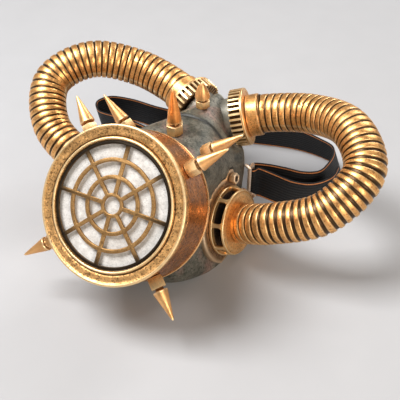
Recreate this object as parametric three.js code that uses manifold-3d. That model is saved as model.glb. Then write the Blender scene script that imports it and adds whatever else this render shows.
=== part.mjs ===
// A steampunk half mask: a hollow shell with a filter canister, two ribbed hoses, cone spikes and a head strap.
// Millimetres. The pieces are placed in the mask's frame: X across the face, Y back from the canister's front
// face, Z up to the nose. The whole mask then leans back until its jaw rim stands flat on the ground.
import * as THREE from "three";
import { mergeVertices } from "three/addons/utils/BufferGeometryUtils.js";
import Module from "manifold-3d";

const wasm = await Module();
wasm.setup();

// Fits
const GAP = 0.3;
const WELD = 0.02;
const LEAN = THREE.MathUtils.degToRad(36.5);

// Canister
const CANISTER_RADIUS = 46;
const CANISTER_DEPTH = 36.3;
const CANISTER_WALL = 2.5;
const CANISTER_BEAD = 0.8;
const CANISTER_BEAD_LENGTH = 3;
const RING_DEPTH = 6;
const RING_LIP_RADIUS = 38.4;
const RING_BORE_RADIUS = 36.9;
const RING_EDGE = 0.5;
const RING_HOLLOW = 1.2;
const RING_BEAD = 2.2;
const RING_SKIRT = 3.4;
const NECK_RADIUS = 27.4;
const NECK_WALL = 2.4;
const NECK_LENGTH = 4.2;

// Filter pad and web grille
const PAD_THICKNESS = 3;
const PAD_SEAT_DEPTH = 4.2;
const WEB_THICKNESS = 1.6;
const WEB_DEPTH = 1.3;
const WEB_RIM_WIDTH = 1.9;
const WEB_BAR = 2.4;
const WEB_SPOKES = 8;
const WEB_HUB_HOLE = 5;
const WEB_HUB_RING = 2.1;
const WEB_INNER_RING_RADIUS = 17.3;
const WEB_OUTER_RING_RADIUS = 27.1;

// Spikes and nuts
const SPIKE_RADIUS = 4.6;
const SPIKE_TIP_RADIUS = 0.5;
const SPIKE_SHOULDER = 1.2;
const SPIKE_EDGE = 0.6;
const CANISTER_SPIKE_DEPTH = 14;
const CHEEK_SPIKE_LENGTH = 11;
const CHEEK_SPIKE_RADIUS = 2.6;
const STUD_RADIUS = 2.6;
const NUT_NECK = 1.6;
const BOLT_RADIUS = 3.8;
const BOLT_HEIGHT = 4.4;
const BOLT_CHAMFER = 1;
// length and radius: the cone's. flats and height: its nut's.
const CANISTER_SPIKE = { length: 18.2, radius: SPIKE_RADIUS, flats: 8.4, height: 6.8 };
const TALL_CANISTER_SPIKE = { length: 18.2, radius: SPIKE_RADIUS, flats: 8.4, height: 9 };
const SHOULDER_SPIKE = { length: 20.5, radius: SPIKE_RADIUS, flats: 9, height: 6.8 };
const RIDGE_SPIKE = { length: 24, radius: SPIKE_RADIUS, flats: 10, height: 6.8 };
const NOSE_SPIKE = { length: 11.8, radius: 5.1, flats: 9, height: 5 };
// The canister's spikes by their angle round it, in degrees.
const CANISTER_SPIKES = [
  { turn: 42.6, spike: CANISTER_SPIKE },
  { turn: 132.6, spike: CANISTER_SPIKE },
  { turn: 221.5, spike: TALL_CANISTER_SPIKE },
  { turn: 314, spike: CANISTER_SPIKE },
];

// Shell
const WALL = 2.5;
const SHELL_FRONT = CANISTER_DEPTH + GAP;
const SHELL_HALF_WIDTH = 43;
const SHELL_DEPTH = 74;
const NOSE_HEIGHT = 80;
const CHIN_DROP = 45.7;
const CHIN_SETBACK = SHELL_FRONT + 0.3973 * SHELL_DEPTH;
const NOSE_STEP = 1.1;
const RIM_ROOM = 0.5;

// Upper ports: toothed collar and sleeve beside the nose. A seat is given in shares of the shell's sizes.
const GEAR_SEAT = [0.388, 1.05, 0.858];
const GEAR_AXIS = { x: 1, y: 0.1, z: 0.46 };
const GEAR_RADIUS = 19.8;
const GEAR_TOOTH = 2.2;
const GEAR_TEETH = 34;
const GEAR_LENGTH = 7.6;
const GEAR_FLANGE = 2.2;
const GEAR_FLANGE_REACH = 0.1;
const SLEEVE_RADIUS = 14.4;
const SLEEVE_LENGTH = 9.5;
const UPPER_BOSS_RADIUS = 14.5;
const UPPER_BOSS_REACH = 10;
const SEAT_ROOM = 20;
const REAR_ROOM = 40;

// Lower ports: raised plate, cage and end plate on the cheek
const CAGE_SEAT = [0.9, 0.7176, 0.0238];
const CAGE_AXIS = { x: 0.974, y: -0.175, z: 0.144 };
const CAGE_RADIUS = 23.3;
const CAGE_END_RADIUS = 21.6;
const CAGE_DEPTH = 9.5;
const CAGE_PLATE = 2.2;
const CAGE_FOOT = 1.6;
const CAGE_WALL = 2.4;
const CAGE_FLANGE = 2;
const CAGE_WINDOWS = 8;
const CAGE_BAR = 4;
const ROUND_CAGE = 16;
const PLATE_RADIUS = 29;
const PLATE_REACH = 9;
const PLATE_GROUND_ROOM = 0.8;
const BOLT_ANGLE = THREE.MathUtils.degToRad(97);
const BOLT_EAR_RADIUS = 6;
const BOLT_SETBACK = 1;

// Hoses
const HOSE_RADIUS = 13.1;
const HOSE_BORE = 10.6;
const HOSE_STEPS = 22;
const HOSE_SIDES = 10;
const HOSE_RUN_OUT = 2;
const HOSE_SPREAD = 115.6;
// Points that the right hose passes between its two ports, as shares of its spread from the face's middle.
const HOSE_ROUTE = [
  [0.571, 0.9706, 0.7275],
  [0.8469, 0.8253, 0.692],
  [1, 0.7067, 0.4948],
  [0.8824, 0.6453, 0.2388],
  [0.628, 0.6661, 0.0943],
];

// Strap and its bails. These are placed in the standing frame: X across, Y back, height above the ground.
const STRAP_WIDTH = 25;
const STRAP_THICKNESS = 1.4;
const STRAP_SPREAD = 120;
const STRAP_LEAD = { across: 0.6, outer: 3, inner: 4, drop: 1 };
const BAIL_ROW = 5;
const BAIL_RISE = 0.6054;
const BAIL_INSET = 4.5;
const BAIL_SETBACK = 4.2;
const BAIL_BAR = { width: 2.4, depth: 2.8 };
const BAIL_MARGIN = 0.8;
const BAIL_FOOT_GAP = 2.9;
const PLATE_SETBACK = 15;

// Numbers of straight steps: in a full turn, in the web's longest arc and in the strap's turn round a bail
const ROUND = 32;
const TUBE_ROUND = 20;
const SMALL_ROUND = 10;
const WEB_ARC_STEPS = 4;
const STRAP_TURN_STEPS = 6;

const steel = (color, roughness, metalness) =>
  new THREE.MeshStandardMaterial({ color, roughness, metalness });
const LOOK = {
  shell: steel(0x66685f, 0.55, 0.2),
  gold: steel(0xb98444, 0.38, 0.85),
  copper: steel(0xa5683a, 0.4, 0.85),
  orange: steel(0xd07f35, 0.35, 0.85),
  pale: steel(0xc9b7a0, 0.35, 0.9),
  felt: steel(0xdfdedb, 0.95, 0),
  strap: steel(0x15171a, 0.9, 0),
};

const mask = new THREE.Group();
mask.rotation.x = -LEAN;
const standing = new THREE.Group();
const vector = ({ x, y, z }) => new THREE.Vector3(x, y, z);
const mirrored = ({ x, y, z }) => ({ x: -x, y, z });
const FORWARD = new THREE.Vector3(0, 0, 1);
const UP = new THREE.Vector3(0, 1, 0);

// The ground, as a height in the mask's frame turned upright.
const GROUND = -CHIN_SETBACK * Math.sin(LEAN) - CHIN_DROP * Math.cos(LEAN);
const STANDING_UP = new THREE.Vector3(0, -Math.sin(LEAN), Math.cos(LEAN));
const groundAt = (y) => (GROUND + y * Math.sin(LEAN)) / Math.cos(LEAN);

// Closed solids: a geometry in and out of the boolean library
function solid(geometry, matrix = new THREE.Matrix4()) {
  const bare = geometry.clone().applyMatrix4(matrix);
  bare.deleteAttribute("normal");
  bare.deleteAttribute("uv");
  const merged = mergeVertices(bare, 1e-4);
  return new wasm.Manifold(
    new wasm.Mesh({
      numProp: 3,
      vertProperties: merged.attributes.position.array,
      triVerts: new Uint32Array(merged.index.array),
    }),
  );
}

// Corners closer than the weld are joined, and the faces that this closes up are dropped.
function geometryOf(made) {
  const { vertProperties, triVerts } = made.getMesh();
  const cut = new THREE.BufferGeometry()
    .setAttribute("position", new THREE.BufferAttribute(vertProperties, 3))
    .setIndex(new THREE.BufferAttribute(triVerts, 1));
  const welded = mergeVertices(cut, WELD);
  const faces = [];
  const corners = welded.index.array;
  for (let i = 0; i < corners.length; i += 3) {
    const [a, b, c] = [corners[i], corners[i + 1], corners[i + 2]];
    if (a !== b && b !== c && c !== a) faces.push(a, b, c);
  }
  welded.setIndex(faces);
  welded.computeVertexNormals();
  return welded;
}

function named(name, geometry, material, matrix) {
  const mesh = new THREE.Mesh(geometry, material);
  mesh.name = name;
  if (matrix) mesh.applyMatrix4(matrix);
  return mesh;
}

// A placing matrix that turns the piece's own axis onto the given direction.
function placed(place, direction, own = UP) {
  const turn = new THREE.Quaternion().setFromUnitVectors(own, direction.clone().normalize());
  return new THREE.Matrix4().compose(place, turn, new THREE.Vector3(1, 1, 1));
}

// A turned piece: rows of [radius, distance along the axis] that close on themselves.
function turned(rows, segments = ROUND) {
  const profile = rows.map(([radius, along]) => new THREE.Vector2(radius, along));
  const closed = rows[0][0] > 0 ? [...profile, profile[0].clone()] : profile;
  return new THREE.LatheGeometry(closed, segments);
}

function circleHole(radius, segments = SMALL_ROUND) {
  const hole = new THREE.Path();
  const corners = [];
  for (let i = 0; i < segments; i++) {
    const angle = (-i * 2 * Math.PI) / segments;
    corners.push(new THREE.Vector2(radius * Math.cos(angle), radius * Math.sin(angle)));
  }
  return hole.setFromPoints(corners);
}

function polygonShape(radius, sides) {
  const corners = [];
  for (let i = 0; i < sides; i++) {
    const angle = (i * 2 * Math.PI) / sides;
    corners.push(new THREE.Vector2(radius * Math.cos(angle), radius * Math.sin(angle)));
  }
  return new THREE.Shape(corners);
}

// Joins loops of points, each as long as the last, into a closed skin; ends are fanned unless it is a ring.
function lofted(loops, isRing) {
  const size = loops[0].length;
  const points = loops.flat();
  const faces = [];
  const spans = isRing ? loops.length : loops.length - 1;
  for (let i = 0; i < spans; i++) {
    const here = i * size;
    const next = ((i + 1) % loops.length) * size;
    for (let j = 0; j < size; j++) {
      const k = (j + 1) % size;
      faces.push(here + j, next + j, next + k, here + j, next + k, here + k);
    }
  }
  if (!isRing) {
    for (const [start, isFlipped] of [[0, false], [(loops.length - 1) * size, true]]) {
      for (let j = 1; j < size - 1; j++) {
        faces.push(start, start + (isFlipped ? j + 1 : j), start + (isFlipped ? j : j + 1));
      }
    }
  }
  let volume = 0;
  for (let i = 0; i < faces.length; i += 3) {
    const [a, b, c] = [points[faces[i]], points[faces[i + 1]], points[faces[i + 2]]];
    volume += a.dot(b.clone().cross(c));
  }
  if (volume < 0) faces.reverse();
  return new THREE.BufferGeometry().setFromPoints(points).setIndex(faces);
}

// Shell
// Each row runs from the front hole over a shoulder to the rear rim, on the right half, nose to chin.
// turn: the row's angle at the front hole, in degrees. Shoulder and rim: shares of the half width across,
// of the shell's depth back and of the nose's height up. A rim without a height stands on the ground.
const SHELL_ROWS = [
  { turn: 90, shoulder: [0, 0.03, 0.48], rim: [0, 0.985, 1.0] },
  { turn: 77, shoulder: [0.25, 0.03, 0.51], rim: [0.1, 1.0, 0.965] },
  { turn: 64, shoulder: [0.49, 0.03, 0.55], rim: [0.18, 1.03, 0.89] },
  { turn: 50, shoulder: [0.76, 0.03, 0.56], rim: [0.21, 1.11, 0.78] },
  { turn: 36, shoulder: [0.95, 0.05, 0.47], rim: [0.4, 1.13, 0.69] },
  { turn: 22, shoulder: [0.88, 0.08, 0.3], rim: [0.67, 0.99, 0.605] },
  { turn: 8, shoulder: [0.8, 0.09, 0.12], rim: [0.775, 0.95, 0.49] },
  { turn: -6, shoulder: [0.8, 0.09, -0.06], rim: [0.815, 0.985, 0.3] },
  { turn: -22, shoulder: [0.79, 0.09, -0.23], rim: [0.865, 1.02, 0.05] },
  { turn: -38, shoulder: [0.79, 0.09, -0.39], rim: [0.92, 0.98] },
  { turn: -52, shoulder: [0.74, 0.09, -0.52], rim: [0.975, 0.76] },
  { turn: -66, shoulder: [0.56, 0.09, -0.6], rim: [0.83, 0.565] },
  { turn: -78, shoulder: [0.28, 0.09, -0.64], rim: [0.47, 0.44] },
  { turn: -90, shoulder: [0, 0.09, -0.65], rim: [0, null] },
];
const FLANK_SHARE = 0.55;
const SHELL_STATIONS = [0, 0.13, 0.27, 0.41, 0.54, 0.64, 0.68, 0.84, 1];
const STEP_STATION = 6;
const STEP_ROWS = 4;
const ROW_SPLIT = 2;
const FRONT_HOLE_RADIUS = NECK_RADIUS + GAP + 0.2;
// Where spikes stand on the shell: a row and a station of its skin, or shares of the shell's sizes.
const RIDGE_STATION = 0.44;
const NOSE_STATION = 0.79;
const SHOULDER_ROW = 3;
const SHOULDER_STATION = 0.31;
const CHEEK_SPIKE_SPOT = [1.093, 0.992, 0.2625];
const RIDGE_AXIS = { x: 0, y: -0.637, z: 0.771 };
const SHOULDER_AXIS = { x: 0.776, y: -0.19, z: 0.6 };
const CHEEK_AXIS = { x: 0.96, y: 0.27, z: -0.05 };

function shellPoint([across, back, up]) {
  const y = back === null ? CHIN_SETBACK : SHELL_FRONT + back * SHELL_DEPTH;
  const z = up === undefined ? groundAt(y) : up * NOSE_HEIGHT;
  return new THREE.Vector3(across * SHELL_HALF_WIDTH, y, z);
}

function shellRow({ turn, shoulder, rim }) {
  const angle = THREE.MathUtils.degToRad(turn);
  const start = new THREE.Vector3(
    FRONT_HOLE_RADIUS * Math.cos(angle),
    SHELL_FRONT,
    FRONT_HOLE_RADIUS * Math.sin(angle),
  );
  if (Math.abs(turn) === 90) start.x = 0;
  const corner = shellPoint(shoulder);
  const end = shellPoint(rim);
  const flank = corner.clone().lerp(end, FLANK_SHARE);
  return new THREE.CubicBezierCurve3(start, corner, flank, end);
}

const shellCurves = SHELL_ROWS.map(shellRow);
const GEAR_PLACE = shellPoint(GEAR_SEAT);
const CAGE_PLACE = shellPoint(CAGE_SEAT);
const isOnGround = (point) => point.z < groundAt(point.y) + RIM_ROOM;

// The loop of the outer skin at a station from 0, the front hole, to 1, the rear rim.
function shellLoop(station) {
  const right = shellCurves.map((curve) => curve.getPoint(station));
  const left = right.slice(1, -1).reverse().map((p) => new THREE.Vector3(-p.x, p.y, p.z));
  const around = new THREE.CatmullRomCurve3([...right, ...left], true, "centripetal");
  const count = (right.length + left.length) * ROW_SPLIT;
  const loop = Array.from({ length: count }, (unused, i) => around.getPoint(i / count));
  if (station === 1) loop.filter(isOnGround).forEach((p) => p.setZ(groundAt(p.y)));
  return loop;
}

function shellSkins() {
  const outer = SHELL_STATIONS.map(shellLoop);
  const count = outer[0].length;
  const normals = outer.map((loop, i) =>
    loop.map((point, j) => {
      const before = outer[Math.max(i - 1, 0)][j];
      const after = outer[Math.min(i + 1, outer.length - 1)][j];
      const along = after.clone().sub(before);
      const around = loop[(j + 1) % count].clone().sub(loop[(j + count - 1) % count]);
      return along.cross(around).normalize();
    }),
  );
  const nearNose = (j) => Math.min(j, count - j) / ROW_SPLIT;
  outer.forEach((loop, i) => {
    loop.forEach((point, j) => {
      const isStep = i >= STEP_STATION && nearNose(j) < STEP_ROWS;
      if (isStep) point.addScaledVector(normals[i][j], -NOSE_STEP);
    });
  });
  const offset = (depth) =>
    outer.map((loop, i) =>
      loop.map((point, j) => {
        if (i === 0) return point.clone().setY(point.y + depth);
        const isFlat = i === outer.length - 1 && isOnGround(point);
        const normal = normals[i][j].clone();
        if (isFlat) normal.projectOnPlane(STANDING_UP).normalize();
        return point.clone().addScaledVector(normal, depth);
      }),
    );
  return { outer, inner: offset(WALL), grown: offset(-GAP) };
}

// A round bar along an axis, between two distances from a place.
function bar(place, axis, radius, from, to, segments) {
  const rows = [[0, from], [radius, from], [radius, to], [0, to]];
  return solid(turned(rows, segments), placed(vector(place), vector(axis)));
}

// The room that the shell leaves free in front of a port's seat.
function seatRoom(place, axis, radius) {
  return bar(place, axis, radius, 0, SEAT_ROOM, SMALL_ROUND);
}

function boltPlace() {
  const seat = placed(vector(CAGE_PLACE), vector(CAGE_AXIS));
  const axis = vector(CAGE_AXIS).normalize();
  const back = UP.clone().projectOnPlane(axis).normalize();
  const up = axis.clone().cross(back);
  const radius = PLATE_RADIUS - BOLT_SETBACK;
  return new THREE.Vector3()
    .setFromMatrixPosition(seat)
    .addScaledVector(back, radius * Math.cos(BOLT_ANGLE))
    .addScaledVector(up, radius * Math.sin(BOLT_ANGLE));
}

const skins = shellSkins();

function makeShell() {
  let shell = solid(lofted([...skins.outer, ...[...skins.inner].reverse()], true));
  for (const side of [(p) => p, mirrored]) {
    shell = shell
      .subtract(seatRoom(side(CAGE_PLACE), side(CAGE_AXIS), PLATE_RADIUS))
      .subtract(seatRoom(side(boltPlace()), side(CAGE_AXIS), BOLT_EAR_RADIUS));
  }
  return shell;
}

// A box of the standing frame, far wider than the mask, between two places on one axis.
function slab(axis, from, to) {
  const size = new THREE.Vector3().setScalar(HOSE_SPREAD * 4).setComponent(axis, to - from);
  const middle = new THREE.Vector3().setComponent(axis, (from + to) / 2);
  const box = new THREE.BoxGeometry(size.x, size.y, size.z).translate(middle.x, middle.y, middle.z);
  return solid(box, new THREE.Matrix4().makeRotationX(LEAN));
}

// The ports' feet are trimmed to the shell's outer skin, a gap clear of it.
function makePortFeet(name, side) {
  const behind = skins.grown[skins.grown.length - 1].map((point) => point.clone().setY(point.y + REAR_ROOM));
  const skin = solid(lofted([...skins.grown, behind], false));
  const below = slab(2, GROUND - CHIN_DROP, GROUND + PLATE_GROUND_ROOM);
  const rear = slab(1, bailFront - PLATE_SETBACK, bailFront + SHELL_DEPTH);
  const [gear, gearAxis] = [side(GEAR_PLACE), side(GEAR_AXIS)];
  const [cage, cageAxis] = [side(CAGE_PLACE), side(CAGE_AXIS)];
  const ear = bar(side(boltPlace()), cageAxis, BOLT_EAR_RADIUS, -PLATE_REACH, 0, SMALL_ROUND);
  const plate = bar(cage, cageAxis, PLATE_RADIUS, -PLATE_REACH, 0, ROUND)
    .add(ear)
    .subtract(skin)
    .subtract(below)
    .subtract(rear);
  const port = bar(gear, gearAxis, UPPER_BOSS_RADIUS, -UPPER_BOSS_REACH, 0, TUBE_ROUND).subtract(skin);
  mask.add(named(`cheek_plate_${name}`, geometryOf(plate), LOOK.shell));
  mask.add(named(`nose_port_${name}`, geometryOf(port), LOOK.shell));
}

const shellGeometry = geometryOf(makeShell());
mask.add(named("shell", shellGeometry, LOOK.shell));

// The distance from a place, along a direction, to the first skin of the shell.
function reachToShell(place, direction) {
  const skin = new THREE.Mesh(shellGeometry, new THREE.MeshBasicMaterial({ side: THREE.DoubleSide }));
  const hits = new THREE.Raycaster(place, direction.clone().normalize()).intersectObject(skin);
  return hits.length ? hits[0].distance : null;
}

// Canister
function makeCanister() {
  const side = CANISTER_RADIUS - CANISTER_BEAD;
  const inside = CANISTER_RADIUS - CANISTER_BEAD - CANISTER_WALL;
  const back = CANISTER_DEPTH;
  const front = RING_DEPTH + GAP;
  const neckBore = NECK_RADIUS - NECK_WALL;
  const cup = turned([
    [inside, front],
    [side, front],
    [side, back - CANISTER_BEAD_LENGTH],
    [CANISTER_RADIUS, back - CANISTER_BEAD_LENGTH + CANISTER_BEAD],
    [CANISTER_RADIUS, back - CANISTER_BEAD],
    [side, back],
    [NECK_RADIUS, back],
    [NECK_RADIUS, back + NECK_LENGTH],
    [neckBore, back + NECK_LENGTH],
    [neckBore, back - CANISTER_WALL],
    [inside, back - CANISTER_WALL],
  ]);
  const seat = PAD_SEAT_DEPTH + PAD_THICKNESS;
  const ring = turned([
    [RING_BORE_RADIUS, 2 * RING_EDGE],
    [RING_LIP_RADIUS - RING_EDGE, 0],
    [RING_LIP_RADIUS, RING_EDGE],
    [RING_LIP_RADIUS + CANISTER_BEAD, RING_HOLLOW],
    [CANISTER_RADIUS - RING_BEAD, RING_EDGE],
    [CANISTER_RADIUS - RING_BEAD / 2, 0],
    [CANISTER_RADIUS, 2 * RING_EDGE],
    [CANISTER_RADIUS, RING_SKIRT],
    [side, RING_SKIRT + CANISTER_BEAD],
    [side, RING_DEPTH],
    [inside, RING_DEPTH],
    [inside, PAD_SEAT_DEPTH - GAP],
    [RING_BORE_RADIUS, PAD_SEAT_DEPTH - GAP],
  ]);
  const padRadius = inside - GAP;
  const pad = turned([[0, PAD_SEAT_DEPTH], [padRadius, PAD_SEAT_DEPTH], [padRadius, seat], [0, seat]]);
  mask.add(named("canister_cup", cup, LOOK.copper));
  mask.add(named("canister_ring", ring, LOOK.gold));
  mask.add(named("filter_pad", pad, LOOK.felt));
}

// A hole between two spokes and two rings of the web.
function webHole(inner, outer, index) {
  const rimRadius = RING_BORE_RADIUS - GAP;
  const pitch = (2 * Math.PI) / WEB_SPOKES;
  const corners = [];
  const arc = (radius, isBackwards) => {
    const half = pitch / 2 - Math.asin(WEB_BAR / 2 / radius);
    const steps = Math.max(2, Math.round((radius / rimRadius) * WEB_ARC_STEPS));
    for (let i = 0; i <= steps; i++) {
      const share = isBackwards ? 1 - i / steps : i / steps;
      const angle = (index + 0.5) * pitch - half + 2 * half * share;
      corners.push(new THREE.Vector2(radius * Math.cos(angle), radius * Math.sin(angle)));
    }
  };
  arc(outer, true);
  arc(inner, false);
  return new THREE.Path().setFromPoints(corners);
}

function makeWeb() {
  const rim = RING_BORE_RADIUS - GAP;
  const hub = WEB_HUB_HOLE + WEB_HUB_RING;
  const spans = [
    [hub, WEB_INNER_RING_RADIUS - WEB_BAR],
    [WEB_INNER_RING_RADIUS, WEB_OUTER_RING_RADIUS - WEB_BAR],
    [WEB_OUTER_RING_RADIUS, rim - WEB_RIM_WIDTH],
  ];
  const shape = polygonShape(rim, ROUND);
  shape.holes.push(circleHole(WEB_HUB_HOLE, SMALL_ROUND));
  for (const [inner, outer] of spans) {
    for (let i = 0; i < WEB_SPOKES; i++) shape.holes.push(webHole(inner, outer, i));
  }
  const plate = new THREE.ExtrudeGeometry(shape, { depth: WEB_THICKNESS, bevelEnabled: false, steps: 1 });
  const place = new THREE.Matrix4().makeRotationX(-Math.PI / 2).setPosition(0, WEB_DEPTH, 0);
  mask.add(named("web_grille", plate, LOOK.gold, place));
}

// Spikes: a cone on a stud that passes through its nut
function spikeGeometry(length, radius, stud) {
  return turned(
    [
      [0, -stud],
      [STUD_RADIUS, -stud],
      [STUD_RADIUS, 0],
      [radius - SPIKE_EDGE, 0],
      [radius, SPIKE_SHOULDER],
      [SPIKE_TIP_RADIUS * 2, length - SPIKE_TIP_RADIUS * 2],
      [0, length],
    ],
    SMALL_ROUND,
  );
}

function nutGeometry(flats, height) {
  const shape = polygonShape(flats / 2 / Math.cos(Math.PI / 6), 6);
  shape.holes.push(circleHole(STUD_RADIUS + GAP));
  return new THREE.ExtrudeGeometry(shape, { depth: height, bevelEnabled: false, steps: 1 });
}

// Seats a spike and its nut at a place on the surface, pointing out along a direction.
function addSpike(names, place, direction, { length, radius, flats, height }, look) {
  const axis = direction.clone().normalize();
  const stud = height + NUT_NECK;
  const cone = place.clone().addScaledVector(axis, stud);
  mask.add(named(names.spike, spikeGeometry(length, radius, stud), look, placed(cone, axis)));
  mask.add(named(names.nut, nutGeometry(flats, height), LOOK.gold, placed(place, axis, FORWARD)));
}

// The lowest seat for a flat round foot that stays clear of the shell all round.
function seatOnShell(above, direction, footRadius) {
  const axis = direction.clone().normalize();
  const side = new THREE.Vector3(0, 0, 1).cross(axis).normalize();
  const other = axis.clone().cross(side);
  let nearest = Infinity;
  for (let i = 0; i <= SMALL_ROUND; i++) {
    const angle = (i * 2 * Math.PI) / SMALL_ROUND;
    const radius = i === SMALL_ROUND ? 0 : footRadius;
    const start = above
      .clone()
      .addScaledVector(side, radius * Math.cos(angle))
      .addScaledVector(other, radius * Math.sin(angle));
    const reach = reachToShell(start, axis.clone().negate());
    if (reach !== null) nearest = Math.min(nearest, reach);
  }
  return above.clone().addScaledVector(axis, GAP - nearest);
}

function seatSpike(names, spot, direction, spike, look) {
  const axis = vector(direction).normalize();
  const above = spot.clone().addScaledVector(axis, spike.length);
  const foot = spike.flats / 2 / Math.cos(Math.PI / 6);
  addSpike(names, seatOnShell(above, axis, foot), axis, spike, look);
}

function makeCanisterSpikes() {
  CANISTER_SPIKES.forEach(({ turn, spike }, i) => {
    const angle = THREE.MathUtils.degToRad(turn);
    const axis = new THREE.Vector3(Math.cos(angle), 0, Math.sin(angle));
    const reach = CANISTER_RADIUS - CANISTER_BEAD + GAP;
    const place = axis.clone().multiplyScalar(reach).setY(CANISTER_SPIKE_DEPTH);
    const names = { spike: `canister_spike_${i + 1}`, nut: `canister_nut_${i + 1}` };
    addSpike(names, place, axis, spike, LOOK.gold);
  });
}

function makeShellSpikes() {
  const [ridge, nose] = [RIDGE_STATION, NOSE_STATION].map((station) => shellCurves[0].getPoint(station));
  seatSpike({ spike: "ridge_spike", nut: "ridge_nut" }, ridge, RIDGE_AXIS, RIDGE_SPIKE, LOOK.orange);
  seatSpike({ spike: "nose_spike", nut: "nose_nut" }, nose, RIDGE_AXIS, NOSE_SPIKE, LOOK.gold);
  const shoulder = shellCurves[SHOULDER_ROW].getPoint(SHOULDER_STATION);
  for (const [name, side] of [["right", (p) => p], ["left", mirrored]]) {
    const names = { spike: `shoulder_spike_${name}`, nut: `shoulder_nut_${name}` };
    seatSpike(names, vector(side(shoulder)), side(SHOULDER_AXIS), SHOULDER_SPIKE, LOOK.gold);
    const out = vector(side(CHEEK_AXIS)).normalize();
    const place = seatOnShell(vector(side(shellPoint(CHEEK_SPIKE_SPOT))), out, CHEEK_SPIKE_RADIUS);
    const [length, tip] = [CHEEK_SPIKE_LENGTH, SPIKE_TIP_RADIUS * 2];
    const cone = turned(
      [[0, 0], [CHEEK_SPIKE_RADIUS, 0], [CHEEK_SPIKE_RADIUS, tip], [tip, length - tip], [0, length]],
      SMALL_ROUND,
    );
    mask.add(named(`cheek_spike_${name}`, cone, LOOK.gold, placed(place, out)));
  }
}

// Upper ports
function gearShape() {
  const corners = [];
  const pitch = (2 * Math.PI) / GEAR_TEETH;
  const root = GEAR_RADIUS - GEAR_TOOTH;
  // Corners of a tooth: radius, and turn from its middle as a share of the way to the next tooth.
  const tooth = [[root, -0.24], [GEAR_RADIUS, -0.19], [GEAR_RADIUS, 0.19], [root, 0.24]];
  for (let i = 0; i < GEAR_TEETH; i++) {
    for (const [radius, share] of tooth) {
      const angle = (i + share) * pitch;
      corners.push(new THREE.Vector2(radius * Math.cos(angle), radius * Math.sin(angle)));
    }
  }
  return new THREE.Shape(corners);
}

// Teeth on the mask's side and a plain flange on the hose's side. The flange's corners lie over the teeth.
function makeGear() {
  const raised = (shape, depth, start) => {
    shape.holes.push(circleHole(HOSE_BORE, TUBE_ROUND));
    return solid(new THREE.ExtrudeGeometry(shape, { depth, bevelEnabled: false }).translate(0, 0, start));
  };
  const flange = polygonShape(GEAR_RADIUS + GEAR_FLANGE_REACH, GEAR_TEETH);
  return raised(gearShape(), GEAR_LENGTH - GEAR_FLANGE / 2, 0).add(
    raised(flange, GEAR_FLANGE, GEAR_LENGTH - GEAR_FLANGE),
  );
}

function tube(outer, inner, from, to) {
  return turned([[inner, from], [outer, from], [outer, to], [inner, to]], TUBE_ROUND);
}

function makeUpperPort(name, side) {
  const place = vector(side(GEAR_PLACE));
  const axis = vector(side(GEAR_AXIS)).normalize();
  const seat = place.clone().addScaledVector(axis, GAP);
  mask.add(named(`gear_collar_${name}`, geometryOf(makeGear()), LOOK.gold, placed(seat, axis, FORWARD)));
  const start = GEAR_LENGTH + 2 * GAP;
  const sleeve = tube(SLEEVE_RADIUS, HOSE_BORE, start, start + SLEEVE_LENGTH);
  mask.add(named(`upper_sleeve_${name}`, sleeve, LOOK.gold, placed(place, axis)));
  return start + SLEEVE_LENGTH + GAP;
}

// Lower ports
function makeCage() {
  const end = CAGE_DEPTH;
  const plate = end - CAGE_PLATE;
  const body = solid(
    turned(
      [
        [CAGE_RADIUS - CAGE_WALL - CAGE_FLANGE, 0],
        [CAGE_RADIUS, 0],
        [CAGE_RADIUS, CAGE_FOOT],
        [CAGE_END_RADIUS, end],
        [HOSE_BORE, end],
        [HOSE_BORE, plate],
        [CAGE_END_RADIUS - CAGE_WALL, plate],
        [CAGE_RADIUS - CAGE_WALL, CAGE_FOOT],
        [CAGE_RADIUS - CAGE_WALL - CAGE_FLANGE, CAGE_FOOT],
      ],
      ROUND_CAGE,
    ),
  );
  const windowWidth = (2 * Math.PI * CAGE_RADIUS) / CAGE_WINDOWS - CAGE_BAR;
  const windowHeight = plate - CAGE_FOOT;
  let cage = body;
  for (let i = 0; i < CAGE_WINDOWS / 2; i++) {
    const box = new THREE.BoxGeometry(CAGE_RADIUS * 3, windowHeight, windowWidth);
    const turn = new THREE.Matrix4().makeRotationY(((i + 0.5) * 2 * Math.PI) / CAGE_WINDOWS);
    cage = cage.subtract(solid(box.translate(0, CAGE_FOOT + windowHeight / 2, 0), turn));
  }
  return geometryOf(cage);
}

function makeLowerPort(name, side) {
  const place = vector(side(CAGE_PLACE));
  const axis = vector(side(CAGE_AXIS)).normalize();
  const seat = place.clone().addScaledVector(axis, GAP);
  mask.add(named(`port_cage_${name}`, makeCage(), LOOK.gold, placed(seat, axis)));
  const bolt = turned(
    [
      [0, 0],
      [BOLT_RADIUS, 0],
      [BOLT_RADIUS, BOLT_HEIGHT - BOLT_CHAMFER],
      [BOLT_RADIUS - BOLT_CHAMFER, BOLT_HEIGHT],
      [0, BOLT_HEIGHT],
    ],
    6,
  );
  const boltSeat = vector(side(boltPlace())).addScaledVector(axis, GAP);
  mask.add(named(`port_bolt_${name}`, bolt, LOOK.gold, placed(boltSeat, axis)));
  return CAGE_DEPTH + 2 * GAP;
}

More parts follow.
